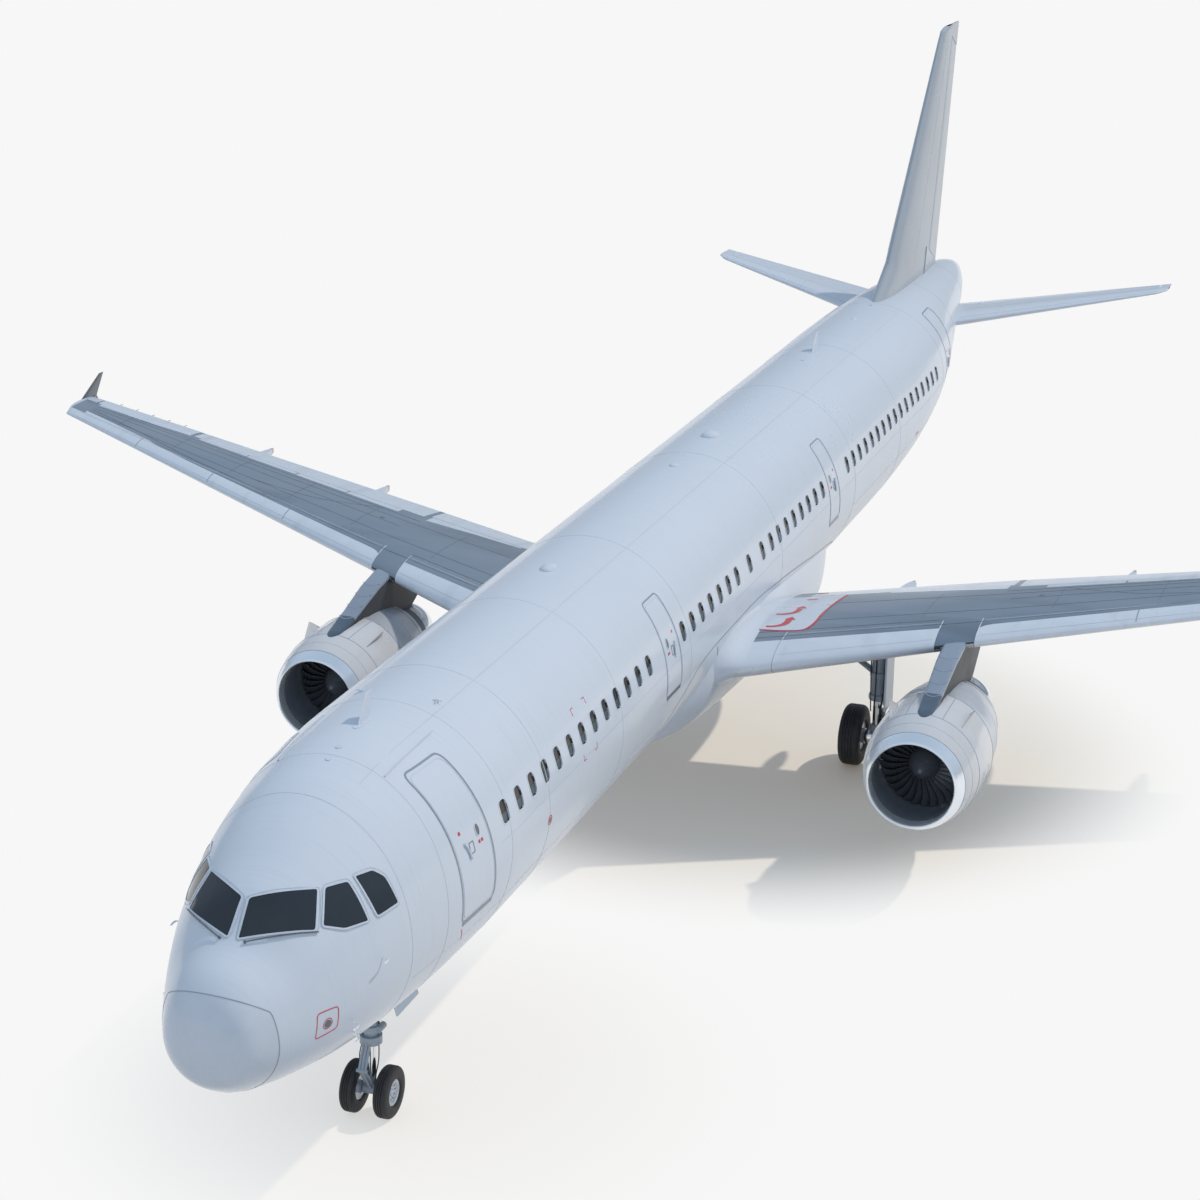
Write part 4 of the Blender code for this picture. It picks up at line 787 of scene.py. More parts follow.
def build_fuselage():
    shape = Shape()
    shape.grid(hull_rows(hull_stations(0.08, SEAM_TAIL)), around=True, caps=True)
    body = piece("fuselage_skin", shape, None, [PAINT, BAY_LINER, SHADOW_DARK])
    rise = 1.6
    tip = (SEAM_S - SEAM_LEAN * rise, SEAM_Z + rise)
    room = prism_shape(
        (
            (SEAM_S + 0.002, 1.4), (SEAM_S + 0.002, SEAM_Z), (tip[0] + 0.002, tip[1]), (-2.0, tip[1]),
            (-2.0, 1.4),
        ),
        -2.1, 2.1,
    )
    tools = [cutter("radome_room", room)]
    for name, first, last in CARGO_DOORS:
        bay = sector_shape(first, last, 0.2, -HOLD_DEPTH, CARGO_LOW, CARGO_HIGH)
        tools.append(cutter(name + "_bay", bay))
    first, last, half, top = NOSE_BAY
    bay = prism_shape(((first, 1.5), (last, 1.5), (last, top), (first, top)), -half, half)
    tools.append(cutter("nose_bay", bay))
    pockets = Shape()
    for side in (-1, 1):
        for s in window_stations():
            line = side_path(window_outline(s, WINDOW_Z), side)
            pockets.grid(
                [[tuple(hull(a, b, lift)) for a, b in line] for lift in (0.05, -WINDOW_DEPTH)], around=True,
                caps=True,
            )
    tools.append(cutter("window_pockets", pockets))
    cut(body, *tools)
    for face in body.data.polygons:
        middle = sum((body.data.vertices[k].co for k in face.vertices), Vector()) / len(face.vertices)
        x, s, z = middle.x / SCALE, middle.y / SCALE + LENGTH / 2, middle.z / SCALE
        if s > 1.0:
            surface = bare_hull(s, turn_of(x, s, z))
            reach = Vector((surface.x, 0, surface.z - AXIS_Z)).length
            inside = Vector((x, 0, z - AXIS_Z)).length < reach - 0.012
            # Inner walls of the cuts: the bay liner below 4.2 m, painted shade above it, as on the window pockets'
            # walls
            if inside and abs(s - SEAM_TAIL) > 0.01:
                face.material_index = 1 if z < 4.2 else 2
    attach(body, "airframe")
    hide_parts("fuselage")

    shape = Shape()
    shape.grid(hull_rows(hull_stations(0.0, SEAM_S + 0.1)), around=True, caps=True)
    radome = piece("radome_skin", shape, None, [NOSE_PAINT])
    back = prism_shape(
        ((SEAM_S, 1.5), (SEAM_S, SEAM_Z), tip, (SEAM_S + 1.0, tip[1]), (SEAM_S + 1.0, 1.5)), -2.0, 2.0,
    )
    cut(radome, cutter("radome_back", back))
    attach(radome, "airframe")
    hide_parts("radome")

    shape = Shape()
    stations = hull_stations(SEAM_TAIL + 0.002, LENGTH - 0.02)
    rows = hull_rows(stations)
    tail_middle = AXIS_Z + FUSELAGE[-1][4]
    rim = hull_rows([LENGTH], -0.015)[0]
    lip = []
    for radius, depth in (
        (EXHAUST_RADIUS + 0.015, 0.0), (EXHAUST_RADIUS, 0.03), (EXHAUST_RADIUS, 0.45), (0.0, 0.47),
    ):
        ring = []
        for k in range(RING_STEPS):
            turn = -2 * math.pi * k / RING_STEPS
            ring.append((radius * math.sin(turn), LENGTH - depth, tail_middle - radius * math.cos(turn)))
        lip.append(ring)
    shape.grid([*rows, rim], around=True)
    shape.grid([rim, *lip], around=True, slot=1)
    piece("tail_cone_skin", shape, "airframe", [PAINT, HOT_METAL], ["tail_cone"])


build_fuselage()


# Cargo doors with their hinge knuckles and pins, and the lugs that carry them
def build_cargo_doors():
    hinge_turn = CARGO_HIGH - RUN / TUBE_HALF_HEIGHT
    hinge_x = -(TUBE_HALF_WIDTH + HINGE_OUT) * math.sin(hinge_turn)
    hinge_z = AXIS_Z - (TUBE_HALF_HEIGHT + HINGE_OUT) * math.cos(hinge_turn)
    for name, first, last in CARGO_DOORS:
        trim = RUN / TUBE_HALF_HEIGHT
        shape = sector_shape(first + RUN, last - RUN, 0.0, -CARGO_THICK, CARGO_LOW + trim, CARGO_HIGH - trim)
        for station in (first + 0.35, last - 0.35):
            shape.tube(
                [(hinge_x, station - KNUCKLE_HALF, hinge_z), (hinge_x, station + KNUCKLE_HALF, hinge_z)],
                KNUCKLE_RADIUS, sides=20,
            )
        low, high = CARGO_LOW + 0.10, CARGO_HIGH - 0.10
        inner = [(first + 0.10, low), (last - 0.10, low), (last - 0.10, high), (first + 0.10, high)]
        outline = rounded_outline(inner, 0.07, step=0.10)
        shape.strap(
            [tuple(hull(s, -t)) for s, t in outline], [hull_normal(s, -t) for s, t in outline], 0.012, 0.002,
            closed=True, slot=1,
        )
        middle = (first + last) / 2
        handle = [
            (middle - 0.14, low - 0.02), (middle + 0.14, low - 0.02), (middle + 0.14, low + 0.03),
            (middle - 0.14, low + 0.03),
        ]
        hull_patch(shape, [(s, -t) for s, t in rounded_outline(handle, 0.018, step=0.1)], 0.003, slot=1, rings=1)
        for station in (first + 0.5, middle, last - 0.5):
            turns = spread(CARGO_LOW + 0.08, CARGO_HIGH - 0.08, 0.08)
            rib = [tuple(hull(station, -t, -CARGO_THICK - 0.015)) for t in turns]
            shape.tube(rib, 0.030, sides=8, slot=2)
        body = name + "_panel"
        piece(name + "_skin", shape, body, [PAINT, SEAM, BAY_LINER], [name])
        lugs = Shape()
        for station in (first + 0.35, last - 0.35):
            reach, lug = KNUCKLE_HALF + 0.015, KNUCKLE_HALF + 0.065
            for a, b in ((-lug, -reach), (reach, lug)):
                lugs.tube(
                    [(hinge_x, station + a, hinge_z), (hinge_x, station + b, hinge_z)], KNUCKLE_RADIUS, sides=20,
                )
            lugs.tube(
                [(hinge_x, station - lug + 0.02, hinge_z), (hinge_x, station + lug - 0.02, hinge_z)], 0.015,
                slot=1,
            )
        piece(name + "_lugs", lugs, "airframe", [PAINT, POLISHED])


build_cargo_doors()


# Belly fairing
def fairing_row(station):
    _, top, bottom, half = smooth_between(FAIRING, station)
    height = min(max((top - AXIS_Z) / TUBE_HALF_HEIGHT, -0.98), 0.98)
    edge = min(TUBE_HALF_WIDTH * math.sqrt(1 - height**2) - 0.06, half)
    tall = top - bottom
    port = [(0.0, bottom), *((across * half, bottom + rise * tall) for across, rise in FAIRING_SECTION)]
    port += [((half + edge) / 2 + 0.02, bottom + 0.80 * tall), (edge, top)]
    starboard = [(-x, z) for x, z in reversed(port[1:])]
    line = rounded_line([*starboard, *port], 5)
    return [(x, station, z) for x, z in line]


shape = Shape()
shape.grid([fairing_row(s) for s in spread(14.3, 26.4, 0.15)], around=True, caps=True)
piece("belly_fairing_skin", shape, "airframe", [PAINT], ["belly_fairing"], angle=40)


# Wings
def wing_section(share, row):
    _, lead, height, chord, ratio, twist = row
    half = 5 * ratio * (
        0.2969 * math.sqrt(max(share, 0.0)) - 0.126 * share - 0.3516 * share**2 + 0.2843 * share**3
        - 0.1015 * share**4
    )
    half += 0.004 * share
    middle = 4 * CAMBER * share * (1 - share)
    lean = math.radians(twist)
    points = []
    for rise in (middle + half, middle - half):
        points.append((
            lead + chord * (share * math.cos(lean) + rise * math.sin(lean)),
            height + chord * (rise * math.cos(lean) - share * math.sin(lean)),
        ))
    return points


def wing_point(span, share, upper, side=1, lift=0.0):
    for low, high in zip(WING, WING[1:]):
        if span <= high[0]:
            break
    part = (span - low[0]) / (high[0] - low[0])
    one = wing_section(share, low)[0 if upper else 1]
    two = wing_section(share, high)[0 if upper else 1]
    return (
        side * span, one[0] + (two[0] - one[0]) * part,
        one[1] + (two[1] - one[1]) * part + (lift if upper else -lift),
    )


def wing_normal(span, share, upper, side):
    a = Vector(wing_point(span, min(share + 0.01, 1.0), upper, side))
    b = Vector(wing_point(span, max(share - 0.01, 0.0), upper, side))
    c = Vector(wing_point(min(span + 0.1, 16.7), share, upper, side))
    d = Vector(wing_point(max(span - 0.1, 0.8), share, upper, side))
    normal = (a - b).cross(c - d).normalized()
    return normal if (normal.z > 0) == upper else -normal


def wing_share(span, station):
    """The chord share of a place, near enough to tell panels apart."""
    row = between(WING, min(max(span, WING[0][0]), WING[-1][0]))
    return (station - row[1]) / row[3]


def spans_between(first, last, step=0.7):
    marks = sorted({first, last, *(row[0] for row in WING if first < row[0] < last), *spread(first, last, step)})
    kept = [marks[0]]
    for mark in marks[1:]:
        if mark - kept[-1] > 0.02:
            kept.append(mark)
    return kept


def wing_row(span, first, last, side):
    inside = [u for u in SHARES if first < u < last]
    ring = [wing_point(span, u, True, side) for u in (first, *inside, last)]
    ring += [wing_point(span, u, False, side) for u in (last, *reversed(inside))]
    if first > 0.0:
        ring.append(wing_point(span, first, False, side))
    return ring


def wing_strap(shape, path, side, width, height=0.003, upper=True, closed=False, slot=0):
    """A strip on the wing's skin along (span, share) pairs."""
    shape.strap(
        [wing_point(span, share, upper, side) for span, share in path],
        [wing_normal(span, share, upper, side) for span, share in path], width, height, closed=closed, slot=slot,
    )


def wing_panel(shape, front, back, side, lift=0.003, slot=0):
    """A flush panel on the upper skin between two lines of (span, share) pairs."""
    rows = []
    for (a, b), (c, d) in zip(front, back):
        inner = [(a + (c - a) * k / 4, b + (d - b) * k / 4) for k in range(5)]
        rows.append([
            wing_point(a, b, True, side, -0.004), *(wing_point(p, q, True, side, lift) for p, q in inner),
            wing_point(c, d, True, side, -0.004),
        ])
    low = [[(x, s, z - lift - 0.004) for x, s, z in row[1:-1]] for row in (rows[0], rows[-1])]
    ends = [[row[0], *inner, row[-1]] for row, inner in zip((rows[0], rows[-1]), low)]
    shape.grid([ends[0], *rows, ends[1]], slot=slot)


def along_span(first, last, share):
    """A line along the span at one share, as (span, share) pairs."""
    return [(span, share) for span in spread(first, last, 0.5)]


def bay_shape(first, last, share_from, side, slat=False):
    rings = []
    for span in (first, last):
        chord = between(WING, span)[3]
        x = side * span
        if slat:
            top, low = wing_point(span, SLAT_TOP, True, side), wing_point(span, SLAT_BOTTOM, False, side)
            lean = (top[1] - low[1]) / (top[2] - low[2])
            reach, past, back = 0.35 * chord, 0.01, 0.008
            rings.append([
                (x, top[1] + back, top[2] + reach), (x, low[1] - chord, top[2] + reach),
                (x, low[1] - chord, low[2] - reach), (x, low[1] + back, low[2] - reach),
                (x, low[1] - lean * past + back, low[2] - past), (x, top[1] + lean * past + back, top[2] + past),
            ])
        else:
            upper, lower = wing_point(span, share_from, True, side), wing_point(span, share_from, False, side)
            front = min(upper[1], lower[1]) - 0.004
            rings.append([
                (x, front, upper[2] + chord / 3), (x, front, lower[2] - chord / 3),
                (x, front + chord, lower[2] - chord / 3), (x, front + chord, upper[2] + chord / 3),
            ])
    shape = Shape()
    shape.grid(rings, around=True, caps=True)
    return shape


def nosed_row(centre, radius, tail, tail_half, across, back=16):
    ring = []
    for k in range(back + 1):
        angle = math.pi * k / back
        ring.append((centre[0] - radius * math.sin(angle), centre[1] + radius * math.cos(angle)))
    for share in (0.33, 0.66):
        low = (centre[1] - radius) * (1 - share) + (tail[1] - tail_half) * share
        ring.append((centre[0] + (tail[0] - centre[0]) * share, low))
    ring += [(tail[0], tail[1] - tail_half), (tail[0], tail[1] + tail_half)]
    for share in (0.66, 0.33):
        high = (centre[1] + radius) * (1 - share) + (tail[1] + tail_half) * share
        ring.append((centre[0] + (tail[0] - centre[0]) * share, high))
    return [across(station, offset) for station, offset in ring]


def track_shape(seat, side, span, length, depth):
    """A flap track fairing: a slim pod with a pointed tail."""
    rows = ((0.0, 0.03, 0.05), (0.25, 0.13, 0.55), (0.55, 0.15, 0.9), (0.80, 0.11, 0.75), (1.0, 0.02, 0.25))
    shape = Shape()
    rings = []
    for share in (*spread(0.0, 0.95, 0.05), 0.962, 0.98, 1.0):
        _, half, drop = smooth_between(rows, share)
        station = seat[1] + share * length
        top = seat[2] + 0.06 - 0.10 * share
        low = top - 0.06 - depth * drop * (1.0 - 0.35 * share)
        ring = []
        for k in range(17):
            a = math.pi * k / 16
            ring.append((side * span + half * math.cos(a), station, top - (top - low) * math.sin(a)**0.8))
        rings.append(ring)
    count = len(rings)
    shape.grid(rings[:count - 2], around=True)
    shape.grid(rings[count - 3:count - 1], around=True, slot=1)
    shape.grid(rings[count - 2:], around=True)
    shape.add(rings[0], [tuple(range(17))])
    shape.add(rings[-1], [tuple(range(17))])
    return shape


# Light spoiler and aileron panels: the front line as (span, share) pairs, and the back line's share
FLAP_EDGES = (FLAPS[0][3] - 0.003, FLAPS[1][3] - 0.003)
WING_PANELS = (
    ([(3.98, 0.790), (4.10, 0.782), (4.70, 0.765), (5.10, 0.755), (5.70, 0.728), (6.27, 0.706)], FLAP_EDGES[0]),
    *(
        ([(span + 0.02, front), (span + 0.75, front - 0.001), (following - 0.02, front - 0.002)], FLAP_EDGES[1])
        for span, following, front in (
            (6.99, 8.49, 0.690), (8.49, 9.98, 0.694), (9.98, 11.47, 0.700), (11.47, 12.97, 0.708),
        )
    ),
    ([(13.26, 0.735), (13.60, 0.722), (14.30, 0.683), (15.00, 0.660), (15.60, 0.645), (16.14, 0.630)], 0.748),
    ([(13.75, 0.198), (14.40, 0.214), (15.20, 0.242), (15.80, 0.262), (16.14, 0.275)], 0.193),
)
SLAT_STRIPS = (
    [(2.82, 0.118), (4.2, 0.116), (5.52, 0.112)],
    [
        (6.245, 0.090), (6.33, 0.106), (6.45, 0.112), (8.7, 0.120), (10.6, 0.132), (12.4, 0.146), (13.70, 0.184),
    ],
)
WING_SEAMS = (
    ([(2.1, 0.150), (4.0, 0.150), (6.36, 0.149), (8.82, 0.155), (10.7, 0.180)], 0.020),
    ([(10.7, 0.193), (12.5, 0.212), (14.3, 0.295), (16.1, 0.390)], 0.020),
    ([(10.57, 0.297), (8.81, 0.402), (7.45, 0.646)], 0.014),
    (along_span(2.3, 5.5, 0.20), 0.012),
    (along_span(6.3, 16.1, 0.655), 0.012),
    ([(7.00, 0.500), (7.10, 0.500)], 0.05),
    ([(7.05, 0.487), (7.05, 0.513)], 0.05),
)
WING_FINE_SEAMS = (
    (along_span(2.3, 16.1, 0.30), 0.010), (along_span(6.5, 16.1, 0.47), 0.008),
    (along_span(2.3, 16.1, 0.58), 0.010),
)


def build_wing(side_name, side):
    shape = Shape()
    spans = spans_between(WING[0][0], WING[-1][0])
    shape.grid([wing_row(span, 0.0, 1.0, side) for span in spans], around=True, caps=True)
    wing = piece(side_name + "_wing_skin", shape, None, [WING_TOP, WING_LIGHT, WING_BELOW, SHADOW_DARK, PAINT])
    tools = []
    for name, inner, outer in SLATS:
        tools.append(cutter(name + "_bay", bay_shape(inner - 0.006, outer + 0.006, 0, side, slat=True)))
        rings = []
        uppers = [u for u in reversed(SHARES) if u < SLAT_TOP]
        lowers = [u for u in SHARES if 0.0 < u < SLAT_BOTTOM]
        for span in spans_between(inner, outer):
            ring = [wing_point(span, u, True, side) for u in (SLAT_TOP, *uppers)]
            ring += [wing_point(span, u, False, side) for u in (*lowers, SLAT_BOTTOM)]
            rings.append(ring)
        slat = Shape()
        slat.grid(rings, around=True, caps=True)
        for span in (9.0, 11.5, 14.03) if inner > 6 else ():
            path = [(span, u) for u in (SLAT_TOP, 0.15, 0.12, 0.09, 0.07, 0.05, 0.035, 0.022, 0.012)]
            wing_strap(slat, path, side, 0.022, slot=1)
        for share, width in ((0.165, 0.010), (0.03, 0.008)):
            wing_strap(slat, along_span(inner + 0.06, outer - 0.06, share), side, width, slot=2)
        node = f"{side_name}_{name}"
        piece(node + "_skin", slat, "airframe", [WING_LIGHT, SEAM, SEAM_SOFT], [node])
    for name, inner, outer, front in FLAPS:
        tools.append(cutter(name + "_bay", bay_shape(inner - 0.006, outer + 0.006, front, side)))
        flap = Shape()
        spans = spans_between(inner, outer)
        flap.grid([wing_row(span, front + 0.004, 1.0, side) for span in spans], around=True, caps=True)
        node = f"{side_name}_{name}"
        piece(node + "_skin", flap, "airframe", [WING_LIGHT], [node])
    # Aileron
    rings, walls = [], []
    for span in AILERON:
        upper, lower = wing_point(span, AILERON_HINGE, True), wing_point(span, AILERON_HINGE, False)
        tail_up, tail_low = wing_point(span, 1.0, True), wing_point(span, 1.0, False)
        radius = (upper[2] - lower[2]) / 2
        middle = (upper[1], (upper[2] + lower[2]) / 2)
        tail = ((tail_up[1] + tail_low[1]) / 2, (tail_up[2] + tail_low[2]) / 2)
        rings.append(nosed_row(
            middle, radius, tail, (tail_up[2] - tail_low[2]) / 2 + 0.004,
            lambda station, offset, span=span: (side * span, station, offset),
        ))
        front = middle[0] - radius - 1.5 * RUN
        walls.append((side * (span + (-1.4 * RUN if span == AILERON[0] else 2.6 * RUN)), front, middle[1]))
    aileron = Shape()
    aileron.grid(drawn_out(*rings, 0.1), around=True, caps=True)
    piece(
        side_name + "_aileron_skin", aileron, side_name + "_aileron_surface", [WING_LIGHT],
        [side_name + "_aileron"],
    )
    block = Shape()
    block.grid(
        [[(x, s, z - 1), (x, s + 2, z - 1), (x, s + 2, z + 1), (x, s, z + 1)] for x, s, z in walls],
        around=True, caps=True,
    )
    tools.append(cutter("aileron_bay", block))
    cut(wing, *tools)
    for face in wing.data.polygons:
        middle = sum((wing.data.vertices[k].co for k in face.vertices), Vector()) / len(face.vertices)
        span, station = abs(middle.x) / SCALE, middle.y / SCALE + LENGTH / 2
        share = wing_share(span, station)
        if face.normal.z > 0.35:
            root_edge = share < 0.12 and span < SLATS[0][1]
            face.material_index = 1 if span > 16.38 or root_edge else 0
        elif face.normal.z < -0.2:
            face.material_index = 1 if share < SLAT_BOTTOM and span < SLATS[0][1] else 2
        else:
            # Upright faces, such as the slat, flap and aileron bay walls and the leading edge between the slats,
            # take painted shade
            between_slats = SLATS[0][2] < span < SLATS[1][1]
            face.material_index = 1 if (share < 0.05 and not between_slats) or span > 16.38 else 3
    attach(wing, "airframe")
    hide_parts(side_name + "_wing")

    # Light panels on the dark upper skin, and the dark strip behind the slats
    panels = Shape()
    for front, back in WING_PANELS:
        wing_panel(panels, front, [(span, back) for span, _ in front], side)
    piece(side_name + "_wing_panels", panels, "airframe", [WING_LIGHT])
    strips = Shape()
    for path in SLAT_STRIPS:
        wing_panel(strips, path, [(span, SLAT_TOP - 0.002) for span, _ in path], side)
    piece(side_name + "_slat_strips", strips, "airframe", [WING_TOP])

    # Seams of the upper and lower skin
    lines = Shape()
    for path, width in WING_SEAMS:
        wing_strap(lines, rounded_line(path, 4), side, width)
    for path, width in WING_FINE_SEAMS:
        wing_strap(lines, rounded_line(path, 4), side, width, slot=1)
    for span in (3.2, 5.1, 7.4, 9.3, 11.2, 13.1, 15.0):
        wing_strap(lines, [(span, u) for u in spread(0.24, SPOILER_SHARE - 0.03, 0.04)], side, 0.008, slot=1)
    for share, first, last in ((0.12, 2.3, 16.3), (0.60, 2.4, 16.2), (0.35, 2.3, 16.2)):
        wing_strap(lines, along_span(first, last, share), side, 0.010, upper=False, slot=2)
    piece(side_name + "_wing_seams", lines, "airframe", [DARK_PAINT, WING_SEAM, SEAM_SOFT])

    # Oval covers along the lower skin
    covers = Shape()
    for span in spread(7.2, 15.4, 0.82):
        wing_strap(covers, oval((span, 0.38), 0.20, 0.055, 16), side, 0.012, upper=False, closed=True)
    piece(side_name + "_wing_covers", covers, "airframe", [SEAM_SOFT])

    for number, (span, start, length, depth) in enumerate(TRACKS):
        seat = wing_point(span, start, False)
        track = track_shape(seat, side, span, length, depth)
        piece(f"{side_name}_track_{number}", track, "airframe", [WING_LIGHT, ORANGE], angle=50)

    # Jacking pad, and static wicks on the aileron
    pad = wing_point(*WING_PAD, False)
    shape = Shape()
    shape.lathe(
        [(-0.06, 0.0), (-0.06, 0.085), (-0.05, 0.10), (0.1, 0.10)], (side * pad[0], pad[1], pad[2]), "z",
        steps=32,
    )
    piece(side_name + "_wing_pad", shape, "airframe", [WING_BELOW])
    surface_wicks = Shape()
    for span in (13.85, 14.35, 14.85, 15.35, 15.85):
        tail = wing_point(span, 1.0, True, side)
        surface_wicks.tube(
            [(tail[0], tail[1] - 0.05, tail[2] - 0.01), (tail[0], tail[1] + 0.16, tail[2] - 0.02)], 0.007, sides=6,
        )
    piece(side_name + "_aileron_wicks", surface_wicks, side_name + "_aileron_surface", [DARK_PAINT])

    # Wingtip fence
    rows = []
    for height in spread(FENCE[0][0], FENCE[-1][0], 0.04):
        _, lead, trail, half = between(FENCE, height)
        centre = side * (FENCE_X + 0.06 * max(0.0, height - FENCE[1][0]))
        ring = []
        for share, width in ((0.0, 0.0), (0.04, 0.55), (0.15, 0.85), (0.35, 1.0), (0.65, 0.75), (1.0, 0.25)):
            ring.append((centre + half * width, lead + (trail - lead) * share, height))
        ring += [(2 * centre - x, s, z) for x, s, z in reversed(ring[1:])]
        rows.append(ring)
    fence = Shape()
    fence.grid(rows, around=True, caps=True)
    fence.lathe(
        [(0.0, 0.0), (0.02, 0.025), (0.10, 0.045), (0.35, 0.052), (0.62, 0.04), (0.78, 0.0)],
        (side * (FENCE_X - 0.018), 25.42, 4.70), "s", steps=20,
    )
    node = side_name + "_wingtip_fence"
    piece(node + "_skin", fence, "airframe", [DARK_PAINT], [node])


def fairing_reach(station, height):
    """Half width of the belly fairing, or of the hull where that is wider."""
    ring = [(x, z) for x, _, z in fairing_row(min(max(station, FAIRING[0][0]), FAIRING[-1][0])) if x > 0.0]
    reach = 0.0
    for (x0, z0), (x1, z1) in zip(ring, ring[1:]):
        if min(z0, z1) <= height <= max(z0, z1) and z0 != z1:
            reach = max(reach, x0 + (x1 - x0) * (height - z0) / (z1 - z0))
    rise = (height - AXIS_Z) / TUBE_HALF_HEIGHT
    return max(reach, TUBE_HALF_WIDTH * math.sqrt(max(1 - rise**2, 0.0)))


def build_fillet(side_name, side):
    """A concave fillet round the wing's root, from the fairing's side onto the wing."""
    kept = [u for u in SHARES if u < 0.95]
    around = [(u, True) for u in reversed(kept)] + [(u, False) for u in kept[1:]]
    columns = []
    for share, upper in around:
        size = FILLET * (1 - share)**0.8

        def offset(span, out):
            normal = wing_normal(span, share, upper, side) if share > 0.0 else Vector((0.0, -1.0, 0.0))
            normal.x = 0.0
            return Vector(wing_point(span, share, upper, side)) + normal.normalized() * out

        root = TUBE_HALF_WIDTH
        for _ in range(8):
            point = offset(root, size)
            root = 0.5 * (root + fairing_reach(point.y, point.z) - FILLET_SINK)
        column = []
        for k in range(9):
            turn = math.pi / 2 * k / 8
            column.append(tuple(offset(root + size * (1 - math.cos(turn)), size * (1 - math.sin(turn)) + 0.002)))
        columns.append(column)
    rows = list(zip(*columns))
    shape = Shape()
    shape.grid(rows)
    piece(side_name + "_wing_fillet", shape, "airframe", [PAINT], angle=50)


for side_name, side in SIDES:
    build_wing(side_name, side)
    build_fillet(side_name, side)


# Fin and rudder
FIN_SHARES = (
    (0.0, 0.0), (0.004, 0.15), (0.012, 0.26), (0.03, 0.40), (0.06, 0.55), (0.12, 0.72), (0.20, 0.87),
    (0.35, 1.0), (0.50, 0.99), (0.70, 0.92), (0.85, 0.83), (1.0, 0.74),
)


def fin_point(height, share, width, side=1):
    """A point of the fin's skin at a share of its chord ahead of the rudder."""
    _, lead, hinge, _, half = between(FIN, height)
    back = hinge - half * 0.74 - 1.6 * RUN
    return (side * half * width, lead + (back - lead) * share, height)


def square_end(height, rake):
    _, _, hinge, trail, half = between(FIN, height)
    for _ in range(6):
        trail = between(FIN, height - (trail - hinge) * rake)[3]
    return hinge, trail, half


def build_fin():
    low, high = between(FIN, RUDDER_LOW), between(FIN, RUDDER_HIGH)
    rake = (high[2] - low[2]) / (RUDDER_HIGH - RUDDER_LOW)
    heights = sorted({row[0] for row in FIN} | set(spread(6.0, 12.4, 0.2)))
    shape = Shape()
    rows = []
    for height in heights:
        rows.append(mirrored([fin_point(height, share, width) for share, width in FIN_SHARES]))
    shape.grid(rows, around=True, caps=True)
    for height, flat in ((RUDDER_HIGH + 1.5 * RUN, FIN[-1][0]), (RUDDER_LOW - 1.5 * RUN, FIN[0][0])):
        rings = []
        for level, tilt in ((height, rake), (flat, 0.0)):
            hinge, trail, half = square_end(level, rake) if tilt else between(FIN, level)[2:]
            ring = [(0.85 * half, hinge - 0.5), (0.70 * half, hinge), (0.02, trail)]
            rings.append(mirrored([(x, s, level - (s - hinge) * tilt) for x, s in ring], 0))
        shape.grid(rings, around=True, caps=True)
    # Fin and rudder take the darker grey paint, which is painted shade
    piece("fin_skin", shape, "airframe", [FIN_PAINTED_SHADE], ["fin"])
    rings = []
    for height in (RUDDER_LOW, RUDDER_HIGH):
        hinge, trail, half = square_end(height, rake)
        rings.append(nosed_row(
            (hinge, 0.0), half * 0.70, (trail, 0.0), 0.012,
            lambda station, offset, z=height, h=hinge: (offset, station, z - (station - h) * rake),
        ))
    shape = Shape()
    shape.grid(drawn_out(*rings, 0.06), around=True, caps=True)
    piece("rudder_skin", shape, "rudder_surface", [FIN_PAINTED_SHADE], ["rudder"])

    # Seams of the fin: leading edge, ribs and the tip cap
    lines = Shape()
    for side in (-1, 1):
        seams = []
        for share, first, last in ((0.08, 7.4, 12.3), (0.55, 6.9, 12.3)):
            seams.append((0.012, [(height, share) for height in spread(first, last, 0.3)]))
        for height in (7.9, 9.4, 10.9, 12.15):
            seams.append((0.010, [(height, share) for share in spread(0.03, 1.0, 0.06)]))
        for width, path in seams:
            points = [fin_point(height, share, between(FIN_SHARES, share)[1], side) for height, share in path]
            lines.strap(points, [Vector((side, 0.0, 0.0))] * len(points), width, 0.003)
    piece("fin_seams", lines, "airframe", [SEAM_SOFT])


build_fin()


# Stabilizers and elevators
def stabilizer_point(span, share, width, upper, side):
    _, lead, hinge, _, height, half = between(STABILIZER, span)
    back = hinge - 0.66 * half - 1.6 * RUN
    return (side * span, lead + (back - lead) * share, height + (half if upper else -half) * width)


STABILIZER_SHARES = tuple(
    (share, width if share < 0.5 else width - 0.08 * (share - 0.35) / 0.65) for share, width in FIN_SHARES
)


